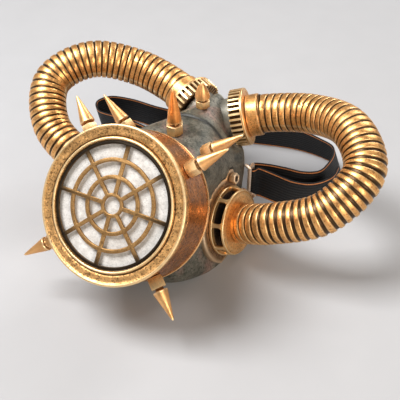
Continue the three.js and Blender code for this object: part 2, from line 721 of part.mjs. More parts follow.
// Hoses
function makeHose(name, side, upperReach, lowerReach) {
  const upperAxis = vector(side(GEAR_AXIS)).normalize();
  const lowerAxis = vector(side(CAGE_AXIS)).normalize();
  const start = vector(side(GEAR_PLACE)).addScaledVector(upperAxis, upperReach);
  const end = vector(side(CAGE_PLACE)).addScaledVector(lowerAxis, lowerReach);
  const route = new THREE.CatmullRomCurve3([
    start,
    start.clone().addScaledVector(upperAxis, HOSE_RUN_OUT),
    ...HOSE_ROUTE.map((shares) => vector(side(new THREE.Vector3(...shares).multiplyScalar(HOSE_SPREAD)))),
    end.clone().addScaledVector(lowerAxis, HOSE_RUN_OUT),
    end,
  ]);
  const section = polygonShape(HOSE_RADIUS, HOSE_SIDES);
  section.holes.push(circleHole(HOSE_BORE, HOSE_SIDES));
  const hose = new THREE.ExtrudeGeometry(section, { steps: HOSE_STEPS, extrudePath: route });
  mask.add(named(`hose_${name}`, hose, LOOK.gold));
}

// Bails: a ring behind each cheek's rim, whose rear bar carries the strap
const STRAP_ROUND = (BAIL_BAR.depth + STRAP_THICKNESS) / 2 + 2 * GAP;
const BAIL_REACH = STRAP_WIDTH + 2 * BAIL_MARGIN + BAIL_BAR.width;
const bailMiddle = BAIL_RISE * standingHeight(shellPoint(SHELL_ROWS[BAIL_ROW].rim));
const bailLow = bailMiddle - BAIL_REACH / 2;
const bailHigh = bailMiddle + BAIL_REACH / 2;
const bailAcross = SHELL_HALF_WIDTH - BAIL_INSET;
const bailFront = rimAtHeight(bailMiddle).y + BAIL_SETBACK;
const bailBack = bailFront + BAIL_BAR.depth + STRAP_THICKNESS + 2 * GAP;

// The middle of the right cheek's rim at a height above the ground, in the standing frame.
function standingHeight(point) {
  return point.z * Math.cos(LEAN) - point.y * Math.sin(LEAN) - GROUND;
}

function rimAtHeight(height) {
  const outerRim = skins.outer[skins.outer.length - 1];
  const innerRim = skins.inner[skins.inner.length - 1];
  const toStanding = new THREE.Matrix4().makeRotationX(-LEAN);
  const right = outerRim
    .slice(0, outerRim.length / 2 + 1)
    .map((point, j) => point.clone().add(innerRim[j]).multiplyScalar(0.5).applyMatrix4(toStanding));
  const index = right.findLastIndex((point) => point.z - GROUND > height);
  const [above, below] = [right[index], right[index + 1]];
  const share = (above.z - GROUND - height) / (above.z - below.z);
  return above.clone().lerp(below, share);
}

function rod(from, to) {
  const length = from.distanceTo(to);
  const box = new THREE.BoxGeometry(BAIL_BAR.width, length, BAIL_BAR.depth);
  const direction = to.clone().sub(from);
  const place = from.clone().lerp(to, 0.5);
  return solid(box, placed(place, direction));
}

function makeBail(name, sign) {
  const half = BAIL_BAR.width / 2;
  const upright = (y) =>
    rod(
      new THREE.Vector3(bailAcross, y, GROUND + bailLow - half),
      new THREE.Vector3(bailAcross, y, GROUND + bailHigh + half),
    );
  let bail = upright(bailFront).add(upright(bailBack));
  for (const height of [bailLow, bailHigh]) {
    const corner = new THREE.Vector3(bailAcross, bailFront, GROUND + height);
    const rear = corner.clone().setY(bailBack);
    const foot = rimAtHeight(height);
    const direction = foot.clone().sub(corner);
    foot.addScaledVector(direction.normalize(), -BAIL_FOOT_GAP);
    bail = bail.add(rod(corner, rear)).add(rod(corner, foot));
  }
  const made = sign > 0 ? bail : bail.mirror([1, 0, 0]);
  standing.add(named(`strap_bail_${name}`, geometryOf(made), LOOK.pale));
}

// Strap
// Rows along the band. First the place of its lower edge, across and back from the bails' rear bars, in shares
// of its spread. Then in shares of its width: that edge's height above the ground, and how far its upper edge
// leans across and back. The rows at the bails are worked out from the bails.
const STRAP_RIGHT_TAIL = [
  [0.7167, 0.4558, 0.024, -0.08, -0.16],
  [0.7042, 0.3225, 0.06, 0, -0.08],
  [0.6333, 0.1725, 0.16, 0, -0.04],
  [0.5375, 0.0933, 0.3, 0, 0],
  [0.4417, 0.06, 0.48, 0, 0],
];
const STRAP_RUN = [
  [0.3708, 0.0933, 0.6, 0, 0],
  [0.4667, 0.1433, 0.48, 0, 0],
  [0.5583, 0.1975, 0.32, 0, 0],
  [0.6292, 0.3058, 0.16, -0.04, -0.08],
  [0.6583, 0.4725, 0.04, -0.12, -0.24],
  [0.6667, 0.6225, 0.02, -0.2, -0.32],
  [0.6333, 0.6975, 0.02, -0.2, -0.32],
  [0.5333, 0.735, 0.02, -0.16, -0.32],
  [0.3333, 0.7475, 0.02, -0.08, -0.24],
  [0.05, 0.6808, 0.02, 0, -0.16],
  [-0.2917, 0.5725, 0.02, 0.08, -0.12],
  [-0.625, 0.5392, 0.02, 0.16, -0.16],
  [-0.8333, 0.5392, 0.02, 0.08, -0.16],
  [-0.9583, 0.4975, 0.02, -0.04, -0.16],
  [-1, 0.4142, 0.02, -0.04, -0.2],
  [-0.9417, 0.3392, 0.02, 0, -0.24],
  [-0.7917, 0.2725, 0.12, 0, -0.12],
  [-0.6, 0.1808, 0.36, 0, 0],
  [-0.4167, 0.0933, 0.6, 0, 0],
];
const STRAP_LEFT_TAIL = [
  [-0.475, 0.0642, 0.48, 0, 0],
  [-0.6, 0.1267, 0.32, 0, 0],
  [-0.7333, 0.1808, 0.2, 0, 0],
];

const strapRow = ([across, back, low, leanX, leanY]) => ({
  x: across * STRAP_SPREAD,
  y: bailBack + back * STRAP_SPREAD,
  low: low * STRAP_WIDTH,
  leanX: leanX * STRAP_WIDTH,
  leanY: leanY * STRAP_WIDTH,
});

// The band's turn round a bail, from its outer side over the front to its inner side.
function strapTurn(sign) {
  const low = bailLow + BAIL_BAR.width / 2 + BAIL_MARGIN;
  const level = { leanX: 0, leanY: 0 };
  const lead = (reach, back, height) => ({
    x: sign * (bailAcross + reach + STRAP_LEAD.across),
    y: bailBack + back,
    low: height,
    ...level,
  });
  const turns = Array.from({ length: STRAP_TURN_STEPS + 1 }, (unused, i) => {
    const angle = (Math.PI * i) / STRAP_TURN_STEPS;
    const across = sign * (bailAcross + STRAP_ROUND * Math.cos(angle));
    return { x: across, y: bailBack - STRAP_ROUND * Math.sin(angle), low, ...level };
  });
  const outer = lead(STRAP_ROUND, STRAP_LEAD.outer, low - STRAP_LEAD.drop);
  const inner = lead(-STRAP_ROUND, STRAP_LEAD.inner, low);
  return [outer, ...turns, inner];
}

function makeStrap() {
  const rows = [
    ...STRAP_RIGHT_TAIL.map(strapRow),
    ...strapTurn(1),
    ...STRAP_RUN.map(strapRow),
    ...strapTurn(-1).reverse(),
    ...STRAP_LEFT_TAIL.map(strapRow),
  ];
  const lower = new THREE.CatmullRomCurve3(
    rows.map(({ x, y, low }) => new THREE.Vector3(x, y, GROUND + low)),
    false,
    "centripetal",
  );
  const upper = new THREE.CatmullRomCurve3(
    rows.map(({ x, y, low, leanX, leanY }) => {
      const rise = Math.sqrt(STRAP_WIDTH ** 2 - leanX ** 2 - leanY ** 2);
      return new THREE.Vector3(x + leanX, y + leanY, GROUND + low + rise);
    }),
    false,
    "centripetal",
  );
  const steps = (rows.length - 1) * 2;
  const loops = [];
  for (let i = 0; i <= steps; i++) {
    const share = i / steps;
    const bottom = lower.getPoint(share);
    const top = upper.getPoint(share);
    const along = lower.getTangent(share);
    const across = along.cross(top.clone().sub(bottom)).normalize().multiplyScalar(STRAP_THICKNESS / 2);
    loops.push([
      bottom.clone().add(across),
      top.clone().add(across),
      top.clone().sub(across),
      bottom.clone().sub(across),
    ]);
  }
  standing.add(named("head_strap", lofted(loops, false), LOOK.strap));
}

makeCanister();
makeWeb();
makeCanisterSpikes();
makeShellSpikes();
for (const [name, sign, side] of [["right", 1, (p) => p], ["left", -1, mirrored]]) {
  makePortFeet(name, side);
  const upperReach = makeUpperPort(name, side);
  const lowerReach = makeLowerPort(name, side);
  makeHose(name, side, upperReach, lowerReach);
  makeBail(name, sign);
}
makeStrap();

// The part stands on the ground: its origin is the middle of its bounding box, at the bottom.
const part = new THREE.Group();
const whole = new THREE.Group();
whole.add(mask, standing);
part.add(whole);
part.updateMatrixWorld(true);
const bounds = new THREE.Box3().setFromObject(part, true);
const middle = bounds.getCenter(new THREE.Vector3());
whole.position.set(-middle.x, -middle.y, -bounds.min.z);

export default part;
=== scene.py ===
"""A steampunk half mask: the detailed look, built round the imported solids.

Sizes are in millimetres. Each piece is made in the mask's own frame, as in the solids: X across the face,
Y back from the canister's front face, Z up to the nose. The whole mask then leans back onto its jaw rim.
"""

from math import asin, copysign, cos, hypot, pi, radians, sin, sqrt

import bmesh
import bpy
import numpy as np
from mathutils import Matrix, Vector, noise
from mathutils.bvhtree import BVHTree


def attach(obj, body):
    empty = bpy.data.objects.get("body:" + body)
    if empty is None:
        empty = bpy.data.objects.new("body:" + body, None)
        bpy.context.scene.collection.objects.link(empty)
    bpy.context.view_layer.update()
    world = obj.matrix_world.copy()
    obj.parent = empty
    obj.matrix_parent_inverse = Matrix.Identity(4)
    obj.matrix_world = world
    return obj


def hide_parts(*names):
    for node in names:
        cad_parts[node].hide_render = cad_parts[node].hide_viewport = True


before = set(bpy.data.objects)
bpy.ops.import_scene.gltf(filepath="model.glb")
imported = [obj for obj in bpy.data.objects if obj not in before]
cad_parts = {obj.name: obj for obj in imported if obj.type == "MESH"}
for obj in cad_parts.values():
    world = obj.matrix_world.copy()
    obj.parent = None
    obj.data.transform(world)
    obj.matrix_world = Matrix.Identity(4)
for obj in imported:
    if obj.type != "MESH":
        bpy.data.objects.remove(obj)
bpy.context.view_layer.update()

# Frames
MM = 0.001
LEAN = radians(36.5)
STANDING = Matrix.Translation((0, -87.4817, 75.9946))
MASK = STANDING @ Matrix.Rotation(-LEAN, 4, "X")
SIDES = (("right", 1), ("left", -1))
Y_AXIS = Vector((0, 1, 0))
Z_AXIS = Vector((0, 0, 1))
QUARTER_TURN = Matrix.Rotation(pi / 2, 4, "X")  # carries Y onto Z

# Sizes shared with the solids
GAP = 0.3
SHELL_FRONT = 36.6
SHELL_HALF_WIDTH = 43
SHELL_DEPTH = 74
NOSE_HEIGHT = 80
CHIN_SETBACK = 66
CHIN_DROP = 45.7
WALL = 2.5
GEAR_PLACE = Vector((16.684, 114.3, 68.64))
GEAR_AXIS = Vector((1, 0.1, 0.46)).normalized()
GEAR_RADIUS = 19.8
GEAR_TEETH = 34
GEAR_LENGTH = 7.6
SLEEVE_RADIUS = 14.4
SLEEVE_LENGTH = 9.5
CAGE_PLACE = Vector((38.7, 89.702, 1.904))
CAGE_AXIS = Vector((0.974, -0.175, 0.144)).normalized()
CAGE_RADIUS = 23.3
CAGE_END_RADIUS = 21.6
CAGE_DEPTH = 9.5
PLATE_RADIUS = 29
HOSE_RADIUS = 13.1
HOSE_BORE = 10.6
STRAP_WIDTH = 25
STRAP_THICKNESS = 1.4


# Meshes
def clamped(value):
    return min(1.0, max(0.0, value))


def placed(place, direction, own=Y_AXIS):
    """A matrix that turns a piece's own axis onto a direction and moves it to a place."""
    turn = own.rotation_difference(direction.normalized())
    return Matrix.Translation(place) @ turn.to_matrix().to_4x4()


def mirrored(vector, sign):
    """The vector itself on the right side (sign 1), and its mirror image on the left side (sign -1)."""
    return Vector((vector.x * sign, vector.y, vector.z))


def added(name, data):
    thing = bpy.data.objects.new(name, data)
    bpy.context.scene.collection.objects.link(thing)
    return thing


def piece(name, made, look, nodes, place=MASK, sharp=35, slot=None):
    """Makes an object of (points, faces, marks) in mm. It rides on the root and replaces nodes."""
    points, faces, marks = made
    spots = np.c_[np.asarray(points, float), np.ones(len(points))] @ np.array(place).T
    mesh = bpy.data.meshes.new(name)
    mesh.from_pydata((spots[:, :3] * MM).tolist(), [], [tuple(int(v) for v in face) for face in faces])
    for label, values in marks.items():
        layer = mesh.attributes.new(label, "FLOAT", "POINT")
        layer.data.foreach_set("value", np.asarray(values, np.float32))
    work = bmesh.new()
    work.from_mesh(mesh)
    bmesh.ops.remove_doubles(work, verts=work.verts, dist=1e-7)
    bmesh.ops.dissolve_degenerate(work, edges=work.edges, dist=1e-8)
    bmesh.ops.recalc_face_normals(work, faces=work.faces)
    work.to_mesh(mesh)
    work.free()
    mesh.polygons.foreach_set("use_smooth", [True] * len(mesh.polygons))
    mesh.set_sharp_from_angle(angle=radians(sharp))
    mesh.materials.append(look)
    thing = added(name, mesh)
    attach(thing, "root")
    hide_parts(*nodes)
    return thing


def grid(rows, columns, wraps_rows, wraps_columns=True):
    """Quads over rows of points. The last row or column joins the first one where it wraps."""
    faces = []
    for i in range(rows if wraps_rows else rows - 1):
        here, after = i * columns, ((i + 1) % rows) * columns
        for j in range(columns if wraps_columns else columns - 1):
            k = (j + 1) % columns
            faces.append((here + j, here + k, after + k, after + j))
    return faces


def tube(rows, columns):
    """The faces of a tube through loops of points, with both ends closed."""
    last = columns * (rows - 1)
    return grid(rows, columns, False) + [tuple(range(columns)), tuple(range(last, last + columns))[::-1]]


def joined(parts):
    """Puts several (points, faces, marks) into one."""
    points, faces = [], []
    labels = sorted({label for part in parts for label in part[2]})
    marks = {label: [] for label in labels}
    for some_points, some_faces, some_marks in parts:
        start = len(points)
        points.extend(tuple(p) for p in some_points)
        faces.extend(tuple(v + start for v in face) for face in some_faces)
        for label in labels:
            marks[label].extend(some_marks.get(label, [0.0] * len(some_points)))
    return points, faces, marks


def moved(made, matrix):
    points, faces, marks = made
    return [tuple(matrix @ Vector(p)) for p in points], faces, marks


def softened(corners, is_closed=True, steps=4, band=0.7):
    """Rounds the corners (radius, along, rounding, wear) of a profile, and marks the worn edges."""
    rows = []
    count = len(corners)
    for i, (radius, along, rounding, wear) in enumerate(corners):
        here = Vector((radius, along))
        if not is_closed and i in (0, count - 1):
            rows.append((radius, along, wear))
            continue
        before = Vector(corners[i - 1][:2]) - here
        after = Vector(corners[(i + 1) % count][:2]) - here
        reach = min(rounding, 0.4 * before.length, 0.4 * after.length)
        lead = here + before.normalized() * (reach + min(band, 0.1 * before.length))
        trail = here + after.normalized() * (reach + min(band, 0.1 * after.length))
        start = here + before.normalized() * reach
        end = here + after.normalized() * reach
        rows.append((lead.x, lead.y, 0.0))
        for k in range(steps + 1):
            share = k / steps
            spot = start.lerp(here, share).lerp(here.lerp(end, share), share)
            rows.append((spot.x, spot.y, wear))
        rows.append((trail.x, trail.y, 0.0))
    return rows


def turned(rows, segments=96, is_closed=True):
    """Turns rows (radius, along, wear) round the local Y axis."""
    angles = [2 * pi * j / segments for j in range(segments)]
    points = [(r * sin(a), along, r * cos(a)) for r, along, wear in rows for a in angles]
    wear = [row[2] for row in rows for a in angles]
    return points, grid(len(rows), segments, is_closed), {"wear": wear}


def outline_solid(outlines, depth, bevel):
    """A flat shape with holes, from loops of points, raised along Z. Its foot is worn."""
    curve = bpy.data.curves.new("outline", "CURVE")
    curve.dimensions = "2D"
    curve.fill_mode = "BOTH"
    curve.extrude = depth / 2 - bevel
    curve.bevel_depth = bevel
    curve.bevel_resolution = 2
    curve.offset = -bevel
    for loop in outlines:
        spline = curve.splines.new("POLY")
        spline.points.add(len(loop) - 1)
        spline.points.foreach_set("co", [v for x, y in loop for v in (x, y, 0, 1)])
        spline.use_cyclic_u = True
    thing = added("outline", curve)
    bpy.context.view_layer.update()
    mesh = thing.evaluated_get(bpy.context.evaluated_depsgraph_get()).to_mesh()
    points = [(v.co.x, v.co.y, v.co.z + depth / 2) for v in mesh.vertices]
    faces = [tuple(p.vertices) for p in mesh.polygons]
    wear = [clamped(1.0 - abs(z) / 0.2) for x, y, z in points]
    bpy.data.objects.remove(thing)
    bpy.data.curves.remove(curve)
    return points, faces, {"wear": wear}


def ring_loop(radius, sides):
    step = 2 * pi / sides
    return [(radius * cos(i * step), radius * sin(i * step)) for i in range(sides)]


def smooth_curve(points, is_closed=False):
    """A function from 0 to 1 along a centripetal curve through points, as the solids use."""
    spots = [Vector(p) for p in points]
    count = len(spots)

    def at(share):
        place = share * (count if is_closed else count - 1)
        index = min(int(place), count - 1 if is_closed else count - 2)
        weight = place - index
        if is_closed:
            p0, p1, p2, p3 = (spots[(index + k) % count] for k in (-1, 0, 1, 2))
        else:
            p1, p2 = spots[index], spots[index + 1]
            p0 = spots[index - 1] if index > 0 else 2 * p1 - p2
            p3 = spots[index + 2] if index + 2 < count else 2 * p2 - p1
        d0, d1, d2 = (max((a - b).length ** 0.5, 1e-4) for a, b in ((p0, p1), (p1, p2), (p2, p3)))
        t1 = ((p1 - p0) / d0 - (p2 - p0) / (d0 + d1) + (p2 - p1) / d1) * d1
        t2 = ((p2 - p1) / d1 - (p3 - p1) / (d1 + d2) + (p3 - p2) / d2) * d1
        c2 = -3 * p1 + 3 * p2 - 2 * t1 - t2
        c3 = 2 * p1 - 2 * p2 + t1 + t2
        return p1 + t1 * weight + c2 * weight**2 + c3 * weight**3

    return at


def even_path(at, count, steps=800):
    """Points at even lengths along a curve."""
    fine = [at(i / steps) for i in range(steps + 1)]
    lengths = np.cumsum([0.0] + [(b - a).length for a, b in zip(fine, fine[1:])])
    wanted = np.linspace(0, lengths[-1], count)
    table = np.array([tuple(p) for p in fine])
    return [Vector([np.interp(w, lengths, table[:, k]) for k in range(3)]) for w in wanted]


def swept(path, loops, marks, is_capped=False):
    """Carries loops of (sideways, up) offsets along a path, without twist."""
    count = len(path)
    ahead = [(path[min(i + 1, count - 1)] - path[max(i - 1, 0)]).normalized() for i in range(count)]
    normal = ahead[0].orthogonal().normalized()
    points = []
    for i, (spot, loop) in enumerate(zip(path, loops)):
        if i:
            normal = ahead[i - 1].rotation_difference(ahead[i]) @ normal
        across = ahead[i].cross(normal)
        points.extend(tuple(spot + normal * a + across * b) for a, b in loop)
    size = len(loops[0])
    return points, tube(count, size) if is_capped else grid(count, size, False), marks


# Materials
class Look:
    """A node material: shorthand for adding and linking nodes."""

    def __init__(self, name, metallic, specular=0.5):
        self.material = bpy.data.materials.new(name)
        self.material.use_nodes = True
        self.tree = self.material.node_tree
        self.shader = self.tree.nodes["Principled BSDF"]
        self.shader.inputs["Metallic"].default_value = metallic
        self.shader.inputs["Specular IOR Level"].default_value = specular
        self.place = self.node("ShaderNodeTexCoord").outputs["Object"]

    def node(self, kind, links=None, **settings):
        made = self.tree.nodes.new(kind)
        for key, value in settings.items():
            setattr(made, key, value)
        for socket, value in (links or {}).items():
            self.set(made.inputs[socket], value)
        return made

    def set(self, socket, value):
        if isinstance(value, bpy.types.NodeSocket):
            self.tree.links.new(value, socket)
        elif isinstance(value, tuple) and len(value) == 3 and socket.type == "RGBA":
            socket.default_value = (*value, 1)
        else:
            socket.default_value = value

    def noise(self, size_mm, detail=3.0, rough=0.55, stretch=None):
        """Grain about as big as size_mm, from 0 to 1."""
        place = self.place
        if stretch:
            place = self.node("ShaderNodeVectorMath", {0: place, 1: stretch}, operation="MULTIPLY").outputs[0]
        links = {"Vector": place, "Scale": 1000 / size_mm, "Detail": detail, "Roughness": rough}
        return self.node("ShaderNodeTexNoise", links).outputs["Fac"]

    def mark(self, label):
        return self.node("ShaderNodeAttribute", attribute_name=label).outputs["Fac"]

    def ramp(self, value, low, high, to_low=0.0, to_high=1.0):
        """Carries the range from low to high over to another range, and stops at its ends."""
        links = {"Value": value, "From Min": low, "From Max": high, "To Min": to_low, "To Max": to_high}
        return self.node("ShaderNodeMapRange", links, clamp=True).outputs["Result"]

    def math(self, operation, a, b):
        return self.node("ShaderNodeMath", {0: a, 1: b}, operation=operation).outputs[0]

    def mix(self, factor, a, b):
        made = self.node("ShaderNodeMix", data_type="RGBA")
        self.set(made.inputs[0], factor)
        self.set(made.inputs[6], a)
        self.set(made.inputs[7], b)
        return made.outputs[2]

    def bump(self, height, depth_mm, strength=1.0, below=None):
        links = {"Height": height, "Distance": depth_mm * MM, "Strength": strength}
        if below:
            links["Normal"] = below
        return self.node("ShaderNodeBump", links).outputs["Normal"]

    def finish(self, color, roughness, normal=None):
        self.set(self.shader.inputs["Base Color"], color)
        self.set(self.shader.inputs["Roughness"], roughness)
        if normal:
            self.set(self.shader.inputs["Normal"], normal)
        return self.material


def antique(name, base, dark, bright, grain, stain, rough, bump=0.05, worn=0.9, speckle=0.7):
    """Metallic paint with darker stains, a fine grain, bright rubbed edges and painted shade. Sizes are in mm.
    """
    look = Look(name, 0.85)
    stains = look.ramp(look.noise(stain, 4), 0.38, 0.66)
    fine = look.noise(grain, 5, 0.65)
    specks = look.ramp(fine, 0.50, 0.62, 0.0, speckle)
    color = look.mix(stains, base, look.mix(0.45, base, dark))
    color = look.mix(specks, color, dark)
    rubbed = look.math("MULTIPLY", look.mark("wear"), look.ramp(fine, 0.25, 0.5, 0.5, 1.0))
    color = look.mix(look.math("MULTIPLY", rubbed, worn), color, bright)
    # Painted shade: where the shade mark is set, the metal turns near black, in grooves, bores, hollows and
    # inner sides
    color = look.mix(look.mark("shade"), color, PAINTED_SHADE_METAL)
    roughness = look.ramp(look.noise(stain * 0.4, 3), 0.3, 0.7, rough - 0.07, rough + 0.1)
    return look.finish(color, roughness, look.bump(fine, bump))


# The near black used as painted shade on all metals
PAINTED_SHADE_METAL = (0.012, 0.010, 0.008)
METALS = (
    ("antique_gold", (0.94, 0.50, 0.17), (0.30, 0.11, 0.03), (1.0, 0.76, 0.42), 1.2, 9, 0.38),
    ("hose_gold", (0.96, 0.52, 0.18), (0.38, 0.14, 0.04), (1.0, 0.78, 0.43), 1.5, 12, 0.38, 0.02),
    ("brushed_copper", (0.60, 0.235, 0.07), (0.05, 0.02, 0.008), (0.98, 0.62, 0.30), 1.3, 8, 0.27, 0.03),
    ("dark_bronze", (0.44, 0.26, 0.14), (0.04, 0.022, 0.012), (1.0, 0.76, 0.50), 1.4, 6, 0.36, 0.08),
    ("hammered_gold", (0.88, 0.50, 0.19), (0.09, 0.04, 0.015), (1, 0.74, 0.4), 1.1, 5, 0.4, 0.2, 0.9, 0.85),
    ("spike_gold", (0.90, 0.51, 0.21), (0.42, 0.19, 0.06), (1.0, 0.78, 0.46), 1.4, 12, 0.42, 0.02, 0.9, 0.2),
    ("orange_copper", (1.0, 0.47, 0.14), (0.5, 0.13, 0.02), (1.0, 0.70, 0.36), 1.4, 9, 0.38, 0.02, 0.9, 0.3),
    ("pale_metal", (0.80, 0.58, 0.42), (0.30, 0.18, 0.10), (1.0, 0.88, 0.72), 1.0, 5, 0.36),
    ("web_paint", (0.46, 0.265, 0.10), (0.14, 0.07, 0.025), (0.66, 0.43, 0.19), 0.9, 6, 0.5, 0.06, 0.5),
)
LOOKS = (antique(*metal) for metal in METALS)
GOLD, HOSE_GOLD, COPPER, BRONZE, RING_GOLD, SPIKE_GOLD, ORANGE, PALE, WEB_PAINT = LOOKS


def shell_paint():
    """Verdigris paint: grey-green with green, pinkish and dark brown patches."""
    look = Look("verdigris_paint", 0.35)
    fine = look.noise(1.7, 6, 0.75)
    patches = look.noise(11, 4, 0.6)
    warm = look.ramp(look.noise(17, 3, 0.5), 0.53, 0.70, 0.0, 0.8)
    color = look.mix(look.ramp(patches, 0.36, 0.66), (0.058, 0.060, 0.045), (0.210, 0.195, 0.158))
    color = look.mix(warm, color, (0.34, 0.205, 0.165))
    color = look.mix(look.ramp(fine, 0.50, 0.62, 0.0, 0.85), color, (0.022, 0.021, 0.017))
    color = look.mix(look.ramp(fine, 0.42, 0.30, 0.0, 0.65), color, (0.34, 0.325, 0.255))
    # Painted shade: where the shade mark is set, the paint turns near black
    color = look.mix(look.mark("shade"), color, (0.012, 0.012, 0.011))
    rubbed = look.math("MULTIPLY", look.mark("wear"), look.ramp(fine, 0.3, 0.55, 0.35, 0.8))
    color = look.mix(rubbed, color, (0.42, 0.39, 0.31))
    return look.finish(color, look.ramp(patches, 0.3, 0.7, 0.42, 0.6), look.bump(fine, 0.12))


def felt():
    look = Look("filter_felt", 0.0, 0.3)
    fibre = look.noise(1.3, 6, 0.75, (1.0, 1.0, 1.6))
    cloud = look.noise(4, 4, 0.7)
    color = look.mix(look.ramp(cloud, 0.35, 0.65), (0.54, 0.52, 0.49), (0.74, 0.72, 0.69))
    color = look.mix(look.ramp(fibre, 0.50, 0.62, 0.0, 0.55), color, (0.36, 0.34, 0.325))
    look.shader.inputs["Sheen Weight"].default_value = 0.3
    return look.finish(color, look.ramp(cloud, 0.3, 0.7, 0.9, 1.0), look.bump(fibre, 0.35))


def elastic():
    """Black ribbed elastic with copper threads along both edges. Its mark across runs from 0 to 1."""
    look = Look("ribbed_elastic", 0.0, 0.35)
    across = look.mark("across")
    edge = look.math("ABSOLUTE", look.math("SUBTRACT", across, 0.5), 0.0)
    thread = look.ramp(look.noise(0.7, 3), 0.3, 0.7)
    stripe = look.math("MULTIPLY", look.ramp(edge, 0.436, 0.444), look.ramp(edge, 0.476, 0.468))
    along = look.math("SINE", look.math("MULTIPLY", look.mark("along"), 5.2), 0.0)
    # Painted shade: the elastic is darker in the valleys between its ribs and lighter on their crests
    rib_shaded_black = look.mix(look.ramp(look.mark("rib"), 0.2, 1.0), (0.003, 0.003, 0.0035), (0.017, 0.018, 0.020))
    copper = look.mix(thread, (0.42, 0.13, 0.035), (0.85, 0.33, 0.11))
    color = look.mix(stripe, rib_shaded_black, copper)
    normal = look.bump(along, 0.012)
    return look.finish(color, look.ramp(thread, 0, 1, 0.55, 0.8), look.bump(thread, 0.05, 1.0, normal))


SHELL_PAINT = shell_paint()
FELT = felt()
ELASTIC = elastic()

# Shell
# Rows from the nose to the chin, as in the solids: the turn at the front hole, the shoulder's shares and the
# rim's shares. Shares are across, back and up.
SHELL_ROWS = [
    (90, (0, 0.03, 0.48), (0, 0.985, 1.0)),
    (77, (0.25, 0.03, 0.51), (0.1, 1.0, 0.965)),
    (64, (0.49, 0.03, 0.55), (0.18, 1.03, 0.89)),
    (50, (0.76, 0.03, 0.56), (0.21, 1.11, 0.78)),
    (36, (0.95, 0.05, 0.47), (0.4, 1.13, 0.69)),
    (22, (0.88, 0.08, 0.3), (0.67, 0.99, 0.605)),
    (8, (0.8, 0.09, 0.12), (0.775, 0.95, 0.49)),
    (-6, (0.8, 0.09, -0.06), (0.815, 0.985, 0.3)),
    (-22, (0.79, 0.09, -0.23), (0.865, 1.02, 0.05)),
    (-38, (0.79, 0.09, -0.39), (0.92, 0.98, None)),
    (-52, (0.74, 0.09, -0.52), (0.975, 0.76, None)),
    (-66, (0.56, 0.09, -0.6), (0.83, 0.565, None)),
    (-78, (0.28, 0.09, -0.64), (0.47, 0.44, None)),
    (-90, (0, 0.09, -0.65), (0, None, None)),
]
FRONT_HOLE_RADIUS = 27.9
FLANK_SHARE = 0.55
SPLIT = 8  # points for each row round the shell
NEAR_GROUND = 0.5

# The nose plate's step: its height, where it lies along and round the shell, how long its slopes are there,
# and where the painted shade along its crease lies and how far it reaches
NOSE_STEP = 1.1
STEP_STATION = 0.662
STEP_SLOPE = 0.008
STEP_ROW = 3.6
SIDE_SLOPE = 0.3
STEP_SHADE_STATION = 0.66
STEP_SHADE_REACH = 0.014

# The shell's loops, from the front hole to the rim, closer together at the step and at both ends
SHELL_STATIONS = [
    0, 0.02, 0.05, *np.linspace(0.09, 0.63, 16), 0.652, 0.658, 0.664, 0.67, 0.69,
    *np.linspace(0.72, 0.97, 9), 0.985, 1,
]
GROUND = -CHIN_SETBACK * sin(LEAN) - CHIN_DROP * cos(LEAN)
GROUND_UP = Vector((0, -sin(LEAN), cos(LEAN)))


def ground_at(y):
    return (GROUND + y * sin(LEAN)) / cos(LEAN)


def grounded(point):
    """The point itself, or the place above it where it just touches the ground."""
    return point + GROUND_UP * max(0.0, GROUND - point.dot(GROUND_UP))


def shell_point(across, back, up):
    """A point from its shares. Without back it lies at the chin, and without up on the ground."""
    y = CHIN_SETBACK if back is None else SHELL_FRONT + back * SHELL_DEPTH
    z = ground_at(y) if up is None else up * NOSE_HEIGHT
    return Vector((across * SHELL_HALF_WIDTH, y, z))


def shell_spot(row, station):
    """A point of a row's curve, from the front hole at 0 to the rim at 1."""
    turn, shoulder, rim = row
    angle = radians(turn)
    start = Vector((FRONT_HOLE_RADIUS * cos(angle), SHELL_FRONT, FRONT_HOLE_RADIUS * sin(angle)))
    if abs(turn) == 90:
        start.x = 0
    corner, end = shell_point(*shoulder), shell_point(*rim)
    flank = corner.lerp(end, FLANK_SHARE)
    rest = 1 - station
    return start * rest**3 + corner * 3 * rest**2 * station + flank * 3 * rest * station**2 + end * station**3


def shell_loop(station):
    """The points round the shell at a station. The rim's lowest points lie on the ground."""
    right = [shell_spot(row, station) for row in SHELL_ROWS]
    left = [mirrored(p, -1) for p in right[-2:0:-1]]
    at = smooth_curve(right + left, True)
    count = len(right) + len(left)
    points = [at(i / (count * SPLIT)) for i in range(count * SPLIT)]
    if station == 1:
        for p in points:
            if p.z < ground_at(p.y) + NEAR_GROUND:
                p.z = ground_at(p.y)
    return points


def inward_normals(loops):
    """Each point's inward normal. Where the rim stands on the ground, it is level with the ground."""
    count = len(loops[0])
    normals = []
    for i, loop in enumerate(loops):
        before, after = loops[max(i - 1, 0)], loops[min(i + 1, len(loops) - 1)]
        row = []
        for j, point in enumerate(loop):
            along = after[j] - before[j]
            around = loop[(j + 1) % count] - loop[j - 1]
            normal = along.cross(around).normalized()
            if i == len(loops) - 1 and point.z < ground_at(point.y) + NEAR_GROUND:
                normal = (normal - GROUND_UP * normal.dot(GROUND_UP)).normalized()
            row.append(normal)
        normals.append(row)
    return normals


